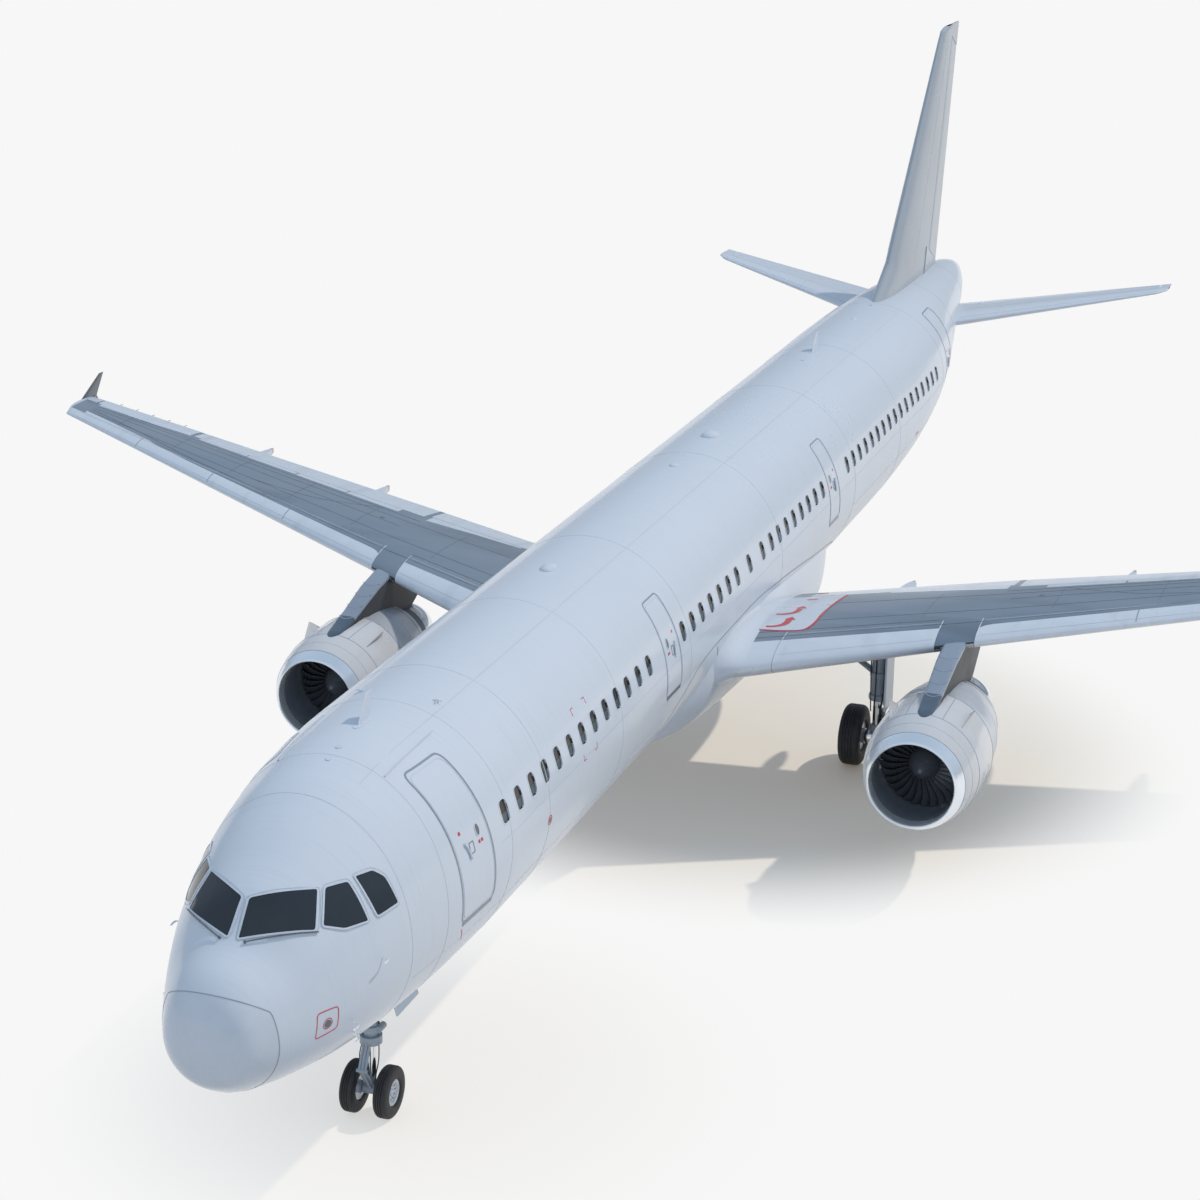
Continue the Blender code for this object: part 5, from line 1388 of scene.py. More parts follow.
def build_stabilizer(side_name, side):
    shape = Shape()
    rows = []
    for span in sorted({row[0] for row in STABILIZER} | set(spread(0.6, 6.2, 0.4))):
        upper = [stabilizer_point(span, share, width, True, side) for share, width in STABILIZER_SHARES]
        lower = [stabilizer_point(span, share, width, False, side) for share, width in STABILIZER_SHARES[1:]]
        rows.append([*upper, *reversed(lower)])
    shape.grid(rows, around=True, caps=True)
    for spans in ((ELEVATOR[1] + 3.0 * RUN, STABILIZER[-1][0]), (STABILIZER[0][0], ELEVATOR[0] - 3.0 * RUN)):
        rings = []
        for span in spans:
            _, lead, hinge, trail, height, half = between(STABILIZER, span)
            start = lead + 0.5 * (hinge - lead)
            ring = [
                (side * span, start, height + 0.8 * half), (side * span, hinge, height + 0.6 * half),
                (side * span, trail, height + 0.01),
            ]
            rings.append(ring + [(x, s, 2 * height - z) for x, s, z in reversed(ring)])
        shape.grid(rings, around=True, caps=True)
    piece(side_name + "_stabilizer_skin", shape, "airframe", [PAINT], [side_name + "_stabilizer"])
    rings = []
    for span in ELEVATOR:
        _, lead, hinge, trail, height, half = between(STABILIZER, span)
        rings.append(nosed_row(
            (hinge, height), half * 0.62, (trail, height), 0.010,
            lambda station, offset, x=side * span: (x, station, offset),
        ))
    shape = Shape()
    shape.grid(drawn_out(*rings, 0.08), around=True, caps=True)
    piece(
        side_name + "_elevator_skin", shape, side_name + "_elevator_surface", [PAINT],
        [side_name + "_elevator"],
    )
    lines = Shape()
    for upper in (True, False):
        sign = 1 if upper else -1
        for share in (0.10, 0.60):
            width = between(STABILIZER_SHARES, share)[1]
            points = [stabilizer_point(span, share, width, upper, side) for span in spread(1.3, 6.05, 0.4)]
            lines.strap(points, [Vector((0, 0, sign))] * len(points), 0.010, 0.003)
        for span in (2.2, 3.4, 4.6, 5.8):
            points = []
            for share in spread(0.03, 1.0, 0.07):
                points.append(stabilizer_point(span, share, between(STABILIZER_SHARES, share)[1], upper, side))
            lines.strap(points, [Vector((0, 0, sign))] * len(points), 0.009, 0.003)
    piece(side_name + "_stabilizer_seams", lines, "airframe", [SEAM_SOFT])


for side_name, side in SIDES:
    build_stabilizer(side_name, side)


# Engines
def outline_of(rows, first, last, step):
    """Points of an outline between two distances aft of the lip, closer together near the lip."""
    near = (0.002, 0.006, 0.012, 0.02, 0.03, 0.045, 0.065, 0.09, 0.12, 0.16, 0.20)
    marks = [m for m in near if first < m < last]
    marks += [m for m in spread(0.24, NOZZLE_END, step) if first + 0.01 < m < last - 0.01]
    return [smooth_between(rows, m) for m in (first, *marks, last)]


def build_engine(side_name, side):
    centre = (side * ENGINE_X, LIP_S, ENGINE_Z)
    for name, first, last, outside, node_slot in (
        ("intake_lip", 0.0, LIP_SEAM, POLISHED, "bright_metal"),
        ("fan_cowl", LIP_SEAM + 0.004, COWL_SEAM, COWL_PAINT, "light_grey"),
        ("fan_nozzle", COWL_SEAM + 0.006, NOZZLE_END, NOZZLE_PAINT, "nozzle_grey"),
    ):
        outer = outline_of(NACELLE_OUTER, first, last, 0.08)
        inner = outline_of(NACELLE_INNER, first, last, 0.12)
        loop = outer + list(reversed(inner[1:] if first == 0.0 else inner))
        slots = [0] * (len(outer) - 1) + [1] * (len(loop) - len(outer) + 1)
        if first == 0.0:
            slots = [0] * len(loop)
        shape = Shape()
        shape.lathe(loop, centre, "s", steps=96, slots=slots, closed=True)
        if name == "fan_cowl":
            for tilt in STRAKE_ANGLES:
                out, flat = spoke(math.radians(tilt))
                line = rounded_line(STRAKE, 6)
                rows = []
                for thick, trim in ((-0.004, 0.0), (-0.010, 0.02), (0.010, 0.02), (0.004, 0.0)):
                    rows.append([
                        tuple(
                            Vector(centre) + Vector((0, s, 0))
                            + out * (r - (trim if 0 < k < len(line) - 1 else 0)) + flat * thick
                        )
                        for k, (s, r) in enumerate(line)
                    ])
                shape.grid(rows, around=True, caps=True)
        node = f"{side_name}_{name}"
        piece(node + "_skin", shape, "airframe", [outside, DUCT], [node])

    # Rings and panel lines around the nacelle
    lines = Shape()

    def ring(at, width, slot=0, first=0.0, last=2 * math.pi):
        points, normals = [], []
        _, radius = smooth_between(NACELLE_OUTER, at)
        steps = max(8, int(96 * (last - first) / (2 * math.pi)))
        for k in range(steps + 1):
            normal, _ = spoke(first + (last - first) * k / steps)
            points.append(tuple(Vector(centre) + Vector((0, at, 0)) + normal * radius))
            normals.append(normal)
        lines.strap(points, normals, width, 0.003, slot=slot)

    def meridian(angle, first, last, width, slot=0):
        normal, _ = spoke(angle)
        points = []
        for at in spread(first, last, 0.1):
            _, radius = smooth_between(NACELLE_OUTER, at)
            points.append(tuple(Vector(centre) + Vector((0, at, 0)) + normal * radius))
        lines.strap(points, [normal] * len(points), width, 0.003, slot=slot)

    ring(LIP_SEAM + 0.004, 0.012)
    ring(0.86, 0.014)
    ring(COWL_SEAM, 0.022)
    ring(3.22, 0.016)
    ring(2.65, 0.010, slot=1)
    ring(0.52, 0.006, slot=1)
    meridian(-math.pi / 2, 0.86, 3.2, 0.016)
    meridian(math.pi / 2 - 0.32, 0.86, COWL_SEAM, 0.012)
    meridian(math.pi / 2 + 0.32, 0.86, COWL_SEAM, 0.012)
    for angle in (-0.25, math.pi + 0.25):
        meridian(angle, LIP_SEAM, 0.86, 0.008, slot=1)
        for at, high in ((1.15, 0.22), (1.60, 0.22)):
            ring(at, 0.008, slot=1, first=angle - high, last=angle + high)
        for turn in (-0.22, 0.22):
            meridian(angle + turn, 1.15, 1.60, 0.008, slot=1)
    # Latches below
    for at in spread(1.0, 1.8, 0.27):
        lines.block(
            (centre[0], centre[1] + at, centre[2] - smooth_between(NACELLE_OUTER, at)[1]),
            ((1, 0, 0), (0, 1, 0), (0, 0, 1)), (0.05, 0.022, 0.006), 0.004, slot=2,
        )
    piece(side_name + "_nacelle_seams", lines, "airframe", [SEAM, SEAM_SOFT, HUB_METAL])

    # Core with its nozzle and plug, and the guide vanes behind the fan
    front = rounded_line(CORE[:5], 6)
    core = Shape()
    profile = [
        (CORE[0][0], 0.0), *front, (4.40, 0.603), (4.56, 0.545), *CORE[5:9], (4.62, 0.275), (4.78, 0.215),
        (4.90, 0.16), (5.02, 0.10), (5.12, 0.03), (5.12, 0.0),
    ]
    slots = [0 if point[0] < 3.9 else 1 for point in profile]
    core.lathe(profile, centre, "s", steps=64, slots=slots)
    core.tube([(centre[0], LIP_S + FAN_S + 0.10, ENGINE_Z), (centre[0], LIP_S + 1.5, ENGINE_Z)], 0.095, sides=24)
    for k in range(28):
        out, around = spoke(2 * math.pi * (k + 0.5) / 28)
        rows = []
        for radius in (0.36, 0.62, 0.864):
            ring_points = []
            for u, v in ((-1, 0.0), (-0.3, 0.014), (0.6, 0.010), (1, 0.0), (0.6, -0.006), (-0.3, -0.004)):
                at = 1.62 + 0.10 * u
                ring_points.append(tuple(
                    Vector(centre) + Vector((0, at, 0)) + out * radius + around * (v + 0.03 * (1 - u * u))
                ))
            rows.append(ring_points)
        core.grid(rows, around=True, caps=True, slot=2)
    node = side_name + "_engine_core"
    piece(side_name + "_core_skin", core, "airframe", [DUCT, CHROME, DUCT], [node])

    # Fan: twisted blades on a hub with a pointed spinner
    fan = Shape()
    nose = FAN_S - SPINNER
    spinner = rounded_line([
        (nose, 0.0), (nose + 0.012, 0.035), (nose + 0.06, 0.085), (nose + 0.16, 0.165), (nose + 0.27, 0.235),
        (FAN_S - 0.01, 0.275), (FAN_S + 0.10, 0.305), (FAN_S + FAN_DEPTH, FAN_HUB + 0.04),
    ], 4)
    fan.lathe([*spinner, (FAN_S + FAN_DEPTH, 0.11), (FAN_S + 0.12, 0.11)], centre, "s", steps=48, slot=1)
    for k in range(FAN_BLADES):
        rows = []
        for share in spread(0.0, 1.0, 0.125):
            radius = 0.27 + (FAN_RADIUS - 0.002 - 0.27) * share
            lean = 0.55 + 0.60 * share
            chord = 0.19 + 0.07 * math.sin(math.pi * min(share * 0.8 + 0.1, 1.0))
            sweep = 0.10 * math.sin(math.pi * share)
            out, around = spoke(2 * math.pi * k / FAN_BLADES + sweep - 0.05 * share)
            hub = Vector(centre) + Vector((0, FAN_S + FAN_DEPTH / 2 + 0.005, 0))
            row = []
            for u, v in (
                (-1, 0), (-0.5, 0.006), (0.2, 0.009), (1, 0.002), (1, -0.002), (0.2, -0.006), (-0.5, -0.005),
            ):
                bow = 0.022 * (1 - u * u)
                p, q = u * chord / 2, v * (1.3 - 0.7 * share) + bow
                row.append(tuple(
                    hub + out * radius + Vector((0, p * math.cos(lean) - q * math.sin(lean), 0))
                    + around * (p * math.sin(lean) + q * math.cos(lean))
                ))
            rows.append(row)
        fan.grid(rows, around=True, caps=True)
    node = side_name + "_fan"
    piece(node + "_skin", fan, node + "_rotor", [FAN_METAL, DARK_PAINT], [node])

    # Pylon, blue-grey on top with dark sides and a darker rounded front end on the cowl
    def pylon_row(station):
        _, low, high, half = between(PYLON, station)
        corner = min(0.07, half * 0.7)
        port = [(half, low), (half, low + (high - corner - low) * 0.5), (half, high - corner)]
        for k in range(1, 6):
            a = math.pi / 2 * k / 5
            port.append((half - corner * (1 - math.cos(a)), high - corner * (1 - math.sin(a))))
        return [(centre[0] + x, station, z) for x, z in port + [(-x, z) for x, z in reversed(port)]]

    slots = [1, 1] + [0] * 11 + [1, 1, 1]
    tip_slots = [2 if slot == 0 else 1 for slot in slots]
    stations = sorted({row[0] for row in PYLON} | set(spread(16.3, 21.5, 0.15)))
    pylon = Shape()
    pylon.grid([pylon_row(s) for s in stations if s <= PYLON_TIP_END], around=True, slots=tip_slots)
    pylon.grid([pylon_row(s) for s in stations if s >= PYLON_TIP_END], around=True, slots=slots)
    pylon.add(pylon_row(stations[0]), [tuple(range(16))], slot=2)
    pylon.add(pylon_row(stations[-1]), [tuple(range(16))], slot=1)
    for station in (PYLON_TIP_END, 17.42, 17.82, 18.22):
        _, low, high, half = between(PYLON, station)
        points, normals = [], []
        for k in range(13):
            x = half * 0.9 * (k / 6 - 1)
            bend = 0.10 * (1 - (k / 6 - 1)**2)
            _, _, top, _ = between(PYLON, station - bend)
            points.append((centre[0] + x, station - bend, top))
            normals.append(Vector((0, -0.28, 0.96)))
        pylon.strap(points, normals, 0.018, 0.004, slot=3)
    piece(
        side_name + "_pylon_skin", pylon, "airframe", [PYLON_TOP, PYLON_SIDE, PYLON_TIP, SEAM],
        [side_name + "_pylon"],
    )


for side_name, side in SIDES:
    build_engine(side_name, side)


# Cockpit windows: the corners of each port pane, from the upper front backwards, as x, s, z. They and two of
# the wipers' points were measured in the photograph through its camera.
PANES = (
    ((0.053, 1.383, 5.335), (0.791, 1.922, 5.355), (0.938, 1.522, 4.94), (0.079, 0.968, 4.922)),
    (
        (0.861, 2.001, 5.344), (1.057, 2.308, 5.337), (1.365, 2.28, 4.814), (1.194, 1.892, 4.848),
        (0.993, 1.642, 4.962),
    ),
    (
        (1.097, 2.431, 5.364), (1.229, 2.727, 5.349), (1.348, 2.85, 5.223), (1.531, 2.9, 4.838),
        (1.419, 2.448, 4.816),
    ),
)
WIPERS = ((0.187, 0.955, 4.896), (0.58, 1.248, 4.905), (0.968, 1.54, 4.914))


def within_hull(point):
    half, share = section_at(max(point.y, 0.0), point.z)
    return (point.x / half)**2 + share**2 < 1.0


def pane_normal(corners):
    a, b, c, d = (Vector(corners[k]) for k in (0, 1, 2, -1))
    normal = (c - a).cross(d - b).normalized()
    return normal if normal.x > 0 else -normal


def onto_skin(point, normal):
    """The (station, turn) pair where a line along the normal meets the skin."""
    low, high = -0.15, 0.35
    for _ in range(24):
        middle = (low + high) / 2
        if within_hull(Vector(point) + normal * middle):
            low = middle
        else:
            high = middle
    x, s, z = Vector(point) + normal * low
    return s, turn_of(x, s, z)


def pane_outline(corners, radius, side, grow=0.0):
    """A pane's outline, straight-edged in its own plane, laid on the skin as (station, turn) pairs."""
    line = [Vector(point) for point in rounded_outline(corners, radius, step=0.05, arc=4)]
    middle = sum(line, Vector()) / len(line)
    normal = pane_normal(corners)
    pairs = [onto_skin(middle + (point - middle) * (1 + grow / (point - middle).length), normal) for point in line]
    return [(s, side * turn) for s, turn in pairs]


def build_cockpit():
    glazing = Shape()
    frames = Shape()
    for side in (1, -1):
        for corners in PANES:
            hull_patch(glazing, pane_outline(corners, 0.045, side), 0.006, rings=5)
            hull_strap(frames, pane_outline(corners, 0.05, side, 0.012), 0.028, 0.013, closed=True)
            hull_strap(frames, pane_outline(corners, 0.06, side, 0.048), 0.008, 0.004, closed=True, slot=1)
    piece("cockpit_panes", glazing, "airframe", [GLASS], ["cockpit_glazing"])
    piece("cockpit_frames", frames, "airframe", [NOSE_PAINT, SEAM_SOFT])
    wipers = Shape()
    for side in (1, -1):
        normal = pane_normal(PANES[0])
        line = [(s, side * a) for s, a in (onto_skin(point, normal) for point in rounded_line(WIPERS, 6))]
        wipers.tube([tuple(hull(s, a, 0.028)) for s, a in line], 0.010, sides=8)
        blade = line[4:]
        wipers.tube([tuple(hull(s, a, 0.014)) for s, a in blade], 0.007, sides=6)
        wipers.tube([tuple(hull(*line[0], 0.035)), tuple(hull(*line[0], -0.01))], 0.020, sides=10)
    piece("wipers", wipers, "airframe", [DARK_PAINT])


build_cockpit()


# Cabin windows: dark panes at the bottom of their pockets with a light rim
def build_windows():
    glass = Shape()
    rims = Shape()
    for side in (-1, 1):
        for s in window_stations():
            line = side_path(window_outline(s, WINDOW_Z, 0.003), side)
            rows = []
            for share in (0.0, 0.5, 1.0):
                middle = (s, side * turn_at(s, WINDOW_Z))
                rows.append([
                    tuple(hull(a + (middle[0] - a) * share, b + (middle[1] - b) * share, 0.004 - WINDOW_DEPTH))
                    for a, b in line
                ])
            glass.grid(rows, around=True)
            # Below the middle each pane takes the lighter grey-blue, a painted reflection
            low = side_path(window_outline(s, WINDOW_Z - 0.02, -0.03), side)
            kept = [(a, b) for a, b in low if bare_hull(a, b).z < WINDOW_Z - 0.01]
            if len(kept) > 3:
                glass.add(
                    [tuple(hull(a, b, 0.007 - WINDOW_DEPTH)) for a, b in kept], [tuple(range(len(kept)))], slot=1,
                )
            rim = side_path(window_outline(s, WINDOW_Z, 0.012), side)
            hull_strap(rims, rim, 0.022, 0.004, closed=True)
    piece("cabin_window_panes", glass, "airframe", [CABIN_GLASS, REFLECT])
    piece("cabin_window_rims", rims, "airframe", [PAINT])


build_windows()


# Doors, seams and marks on the skin
def build_doors():
    lines = Shape()
    for name, top_fore, top_aft, low_fore, low_aft, top, low in CABIN_DOORS:
        for side in (1, -1):
            corners = ((top_fore, top), (top_aft, top), (low_aft, low), (low_fore, low))
            radius = 0.13 if "entry" in name else 0.10
            outline = side_path(rounded_outline(corners, radius), side)
            hull_strap(lines, outline, 0.035 if "entry" in name else 0.028, 0.004, closed=True)
            inner = (
                (top_fore + 0.04, top - 0.05), (top_aft - 0.04, top - 0.05), (low_aft - 0.04, low + 0.05),
                (low_fore + 0.04, low + 0.05),
            )
            hull_strap(lines, side_path(rounded_outline(inner, radius), side), 0.008, 0.003, closed=True, slot=1)
            sill = [(s, low - 0.03) for s in spread(low_fore + 0.05, low_aft - 0.05, 0.1)]
            hull_strap(lines, side_path(sill, side), 0.06, 0.006, slot=2)
    piece("door_lines", lines, "airframe", [DOOR_LINE, SEAM_SOFT, DARK_PAINT])

    fittings = Shape()
    for name, top_fore, top_aft, low_fore, low_aft, top, low in CABIN_DOORS:
        for side in (1, -1):
            fore, aft = (top_fore + low_fore) / 2, (top_aft + low_aft) / 2
            width = aft - fore
            if "exit" in name:
                fore, width = aft, -width
            eye = oval((fore + 0.70 * width, 5.06), 0.055, 0.09, 16)
            hull_patch(fittings, side_path(eye, side), 0.006, rings=1)
            hull_strap(fittings, side_path(eye, side), 0.014, 0.009, closed=True, slot=1)
            lever = [(fore + 0.28 * width, 5.00), (fore + 0.34 * width, 4.90), (fore + 0.38 * width, 4.74)]
            points = [tuple(hull(s, t, 0.018)) for s, t in side_path(lever, side)]
            fittings.tube(rounded_line(points, 4), 0.018, sides=8, slot=1)
            slot_line = rounded_outline([
                (fore + 0.40 * width, 4.96), (fore + 0.52 * width, 4.96), (fore + 0.52 * width, 4.80),
                (fore + 0.40 * width, 4.80),
            ], 0.02, step=0.2)
            hull_strap(fittings, side_path(slot_line, side), 0.014, 0.004, closed=True)
            for shift, high in ((0.22, 5.14), (0.66, 4.86), (0.74, 4.86)):
                mark = [
                    (fore + shift * width, high), (fore + (shift + 0.05) * width, high),
                    (fore + (shift + 0.05) * width, high + 0.05), (fore + shift * width, high + 0.05),
                ]
                mark = side_path(rounded_outline(mark, 0.008, step=0.2), side)
                hull_patch(fittings, mark, 0.004, slot=2, rings=1)
    piece("door_fittings", fittings, "airframe", [DARK_PAINT, PAINT, RED])


build_doors()


# Round port on the side, as station and height
PORT = (7.618, 4.193)


def build_seams():
    lines = Shape()
    every = [-math.pi + 2 * math.pi * k / 96 for k in range(97)]
    for station, width in (
        (3.05, 0.008), (4.02, 0.007), (6.05, 0.007), (7.6, 0.012), (11.0, 0.008), (14.7, 0.012), (20.6, 0.010),
        (26.4, 0.012), (30.6, 0.012), (35.6, 0.012), (38.6, 0.010), (SEAM_TAIL, 0.014),
    ):
        hull_strap(lines, [(station, t) for t in every], width, 0.0025, slot=1)
    # Radome seam: upright below, leaning forward over the crown
    path = []
    for t in every:
        station = SEAM_S
        for _ in range(30):
            height = bare_hull(max(station, 0.0), t).z
            target = SEAM_S - SEAM_LEAN * max(0.0, height - SEAM_Z)
            station += 0.4 * (target - station)
        path.append((station, t))
    hull_strap(lines, path, 0.014, 0.003)
    for side in (1, -1):
        for height, first, last in ((4.62, 5.7, 38.5), (3.55, 3.2, 14.0), (3.95, 26.5, 38.0)):
            path = side_path([(s, height) for s in spread(first, last, 0.35)], side)
            hull_strap(lines, path, 0.007, 0.0025, slot=1)
        shoulder = side * (math.pi - math.asin(0.72 / TUBE_HALF_WIDTH))
        hull_strap(lines, [(s, shoulder) for s in spread(3.65, 36.0, 0.5)], 0.010, 0.0025, slot=1)
        hull_strap(lines, side_path(rounded_line(FAIRING_SEAM, 4), side), 0.022, 0.004)
        # Upright seam on the fairing ahead of the wing
        upright = [(s, 4.06 - 1.6 * (s - 16.36)) for s in spread(16.36, 16.80, 0.05)]
        points = [(side * (fairing_reach(s, z) + 0.001), s, z) for s, z in upright]
        lines.strap(points, [Vector((side, -0.15, 0.0)).normalized() for _ in points], 0.018, 0.004)
        # Rain gutter above the entry door
        gutter = [(s, side * turn_of(0.84, s, 6.17)) for s in spread(4.06, 5.65, 0.12)]
        hull_strap(lines, gutter, 0.024, 0.012, slot=1)
    piece("skin_seams", lines, "airframe", [SEAM, SEAM_SOFT])

    marks = Shape()
    # Red corner marks around an exit window pair, and the nose panel outlines
    for side in (1, -1):
        for s, z, turn in (
            (9.15, 5.42, (1, -1)), (9.75, 5.42, (-1, -1)), (9.15, 4.58, (1, 1)), (9.75, 4.58, (-1, 1)),
        ):
            leg = [(s, z + turn[1] * 0.10), (s, z), (s + turn[0] * 0.10, z)]
            hull_strap(marks, side_path(leg, side), 0.016, 0.003)
    nose_panel = [(1.139, 1.106, 3.931), (1.286, 1.457, 3.917), (1.263, 1.43, 3.597), (1.116, 1.06, 3.577)]
    for side in (1, -1):
        pairs = rounded_outline([(s, turn_of(x, s, z)) for x, s, z in nose_panel], 0.05, step=0.1)
        hull_strap(marks, [(s, side * t) for s, t in pairs], 0.016, 0.003, closed=True)
        middle = (sum(p[1] for p in nose_panel) / 4, sum(turn_of(*p) for p in nose_panel) / 4)
        disc, circle = oval(middle, 0.055, 0.045, 20), oval(middle, 0.075, 0.06, 20)
        hull_patch(marks, [(s, side * t) for s, t in disc], 0.005, slot=1, rings=1)
        hull_strap(marks, [(s, side * t) for s, t in circle], 0.012, 0.003, closed=True)
        hull_strap(marks, side_path(oval(PORT, 0.075, 0.075, 20), side), 0.020, 0.003, closed=True)
        hull_patch(marks, side_path(oval(PORT, 0.045, 0.045, 20), side), 0.004, slot=1, rings=1)
        bar = [(32.50, 4.05), (32.74, 4.05), (32.74, 3.98), (32.50, 3.98)]
        hull_patch(marks, side_path(rounded_outline(bar, 0.02, step=0.1), side), 0.004, slot=2, rings=1)
        foot = [(4.52, 3.72), (4.60, 3.60), (4.64, 3.50)]
        hull_strap(marks, side_path(foot, side), 0.020, 0.003)
    piece("skin_markings", marks, "airframe", [RED, DARK_PAINT, ORANGE])

    fittings = Shape()
    # Blade antennas on the crown
    for s in (5.0, 29.8):
        top = bare_hull(s, math.pi).z
        rows = []
        for share in spread(0.0, 1.0, 0.1):
            chord = 0.42 - 0.20 * share
            start = s + 0.30 * share - 0.05
            z = top - 0.02 + 0.42 * share
            ring = []
            for u, v in ((0, 0), (0.1, 0.5), (0.35, 1.0), (0.7, 0.7), (1.0, 0.1)):
                ring.append((0.022 * v * (1 - 0.4 * share), start + chord * u, z))
            rows.append(mirrored(ring))
        fittings.grid(rows, around=True, caps=True)
        hull_patch(fittings, oval((s + 0.16, math.pi), 0.30, 0.045, 24), 0.008, rings=2)
    # Low oval bumps and small lights
    for s, half_length, half_width, rise in (
        (12.73, 0.22, 0.15, 0.09), (19.61, 0.14, 0.10, 0.06), (22.0, 0.26, 0.20, 0.11),
        (33.6, 0.14, 0.08, 0.04),
    ):
        top = bare_hull(s, math.pi).z
        rows = []
        for j in range(9):
            a = math.pi / 2 * j / 8
            rows.append([
                (half_width * math.cos(a) * math.cos(b), s + half_length * math.cos(a) * math.sin(b),
                 top - 0.012 + rise * math.sin(a))
                for b in (2 * math.pi * k / 24 for k in range(24))
            ])
        fittings.grid(rows, around=True)
    for s, x in ((3.90, 0.05), (4.25, 0.04), (28.95, 0.0), (35.33, 0.0)):
        turn = math.pi - math.asin(x / 1.98)
        hull_patch(fittings, oval((s, turn), 0.05, 0.025, 12), 0.012, rings=1, slot=1)
    # Small crossed fittings on the crown
    for s, x in ((6.45, -0.65), (6.45, 0.61)):
        turn = math.pi - math.asin(x / TUBE_HALF_WIDTH)
        foot = hull(s, turn, -0.01)
        fittings.tube([tuple(foot), tuple(hull(s, turn, 0.05))], 0.022, sides=10, slot=1)
        for reach in (Vector((0.07, 0, 0)), Vector((0, 0.09, 0))):
            middle = hull(s, turn, 0.03)
            fittings.tube([tuple(middle - reach), tuple(middle + reach)], 0.010, sides=6, slot=2)
    # Probes under the nose, on both sides
    for side in (1, -1):
        for s, z in ((1.75, 3.55), (1.95, 3.25), (2.35, 4.25)):
            turn = side * turn_at(s, z)
            root = hull(s, turn, -0.01)
            tip = hull(s, turn, 0.10)
            ahead = tip + Vector((0, -0.14, 0.0))
            fittings.tube(rounded_line([tuple(root), tuple(tip), tuple(ahead)], 5), 0.014, sides=8, slot=2)
    # Drain mast and blade below
    for s in (11.6, 27.6):
        low = bare_hull(s, 0.0).z
        rows = []
        for share in spread(0.0, 1.0, 0.2):
            start, chord, z = s + 0.22 * share, 0.30 - 0.12 * share, low + 0.02 - 0.26 * share
            ring = [(0.016 * v, start + chord * u, z) for u, v in ((0, 0), (0.3, 1), (0.7, 0.8), (1, 0.1))]
            rows.append(mirrored(ring))
        fittings.grid(rows, around=True, caps=True)
    fittings.lathe(
        [(-0.05, 0.0), (-0.05, 0.085), (-0.04, 0.10), (0.16, 0.10)], (0, 7.0, AXIS_Z - TUBE_HALF_HEIGHT), "z",
        steps=32, slot=1,
    )
    piece("skin_fittings", fittings, "airframe", [PAINT, WING_LIGHT, POLISHED])


build_seams()


# Light walkway panel on the wing root, its red border, arrows and bars, as (span, share) pairs. Most were
# measured in the photograph through its camera, and some of those were then moved.
WALKWAY = (
    (2.257, 0.231), (2.661, 0.204), (3.046, 0.194), (3.155, 0.227), (3.19, 0.291), (3.176, 0.381),
    (3.174, 0.496), (3.165, 0.64), (3.15, 0.80),
)
WALK_ARROWS = (
    (
        ((2.311, 0.412), (2.451, 0.404), (2.565, 0.407), (2.644, 0.418), (2.696, 0.442), (2.696, 0.487)),
        ((2.287, 0.429), (2.415, 0.427), (2.521, 0.434), (2.571, 0.448), (2.589, 0.473), (2.578, 0.506)),
        ((2.528, 0.512), (2.637, 0.547), (2.757, 0.496)),
    ),
    (
        ((2.352, 0.252), (2.486, 0.245), (2.597, 0.249), (2.683, 0.258), (2.727, 0.283), (2.721, 0.324)),
        ((2.329, 0.268), (2.461, 0.263), (2.549, 0.271), (2.588, 0.286), (2.600, 0.310), (2.588, 0.337)),
        ((2.563, 0.336), (2.668, 0.365), (2.788, 0.315)),
    ),
)
WALK_BARS = (((2.50, 0.70), (2.68, 0.712)), ((2.41, 0.93), (2.60, 0.94)))


def build_walkway(side_name, side):
    outer = rounded_line(WALKWAY, 5)
    panel = Shape()
    wing_panel(panel, [(2.0, max(share, 0.235)) for _, share in outer], outer, side, lift=0.004)
    piece(side_name + "_walkway_panel", panel, "airframe", [WING_LIGHT])
    marks = Shape()
    wing_strap(marks, outer, side, 0.045, height=0.007)
    for outer_edge, inner_edge, head in WALK_ARROWS:
        edges = [rounded_line(edge, 3) for edge in (outer_edge, inner_edge)]
        marks.grid([[wing_point(a, b, True, side, 0.0075) for a, b in pair] for pair in zip(*edges)])
        marks.add([wing_point(a, b, True, side, 0.008) for a, b in head], [(0, 1, 2)])
    for bar in WALK_BARS:
        wing_strap(marks, bar, side, 0.11, height=0.007)
    piece(side_name + "_walkway_marks", marks, "airframe", [RED])


for side_name, side in SIDES:
    build_walkway(side_name, side)


# Wheels
def tyre_loop(radius, width, rim, grooves):
    half = width / 2
    left = [
        (-0.72, 0.0), (-0.93, 0.10), (-1.0, 0.30), (-0.985, 0.60), (-0.88, 0.84), (-0.70, 0.955), (-0.58, 0.985),
    ]
    line = [(half * a, rim + (radius - rim) * r) for a, r in rounded_line(left, 4)]
    deep = 0.028 * radius
    tread = [(-half * 0.56, radius * 0.994)]
    for g in grooves:
        c, w = half * g, 0.055 * width / 2
        tread += [(c - w * 1.5, radius), (c - w, radius - deep), (c + w, radius - deep), (c + w * 1.5, radius)]
    tread.append((half * 0.56, radius * 0.994))
    return line + tread + [(-a, r) for a, r in reversed(line)]


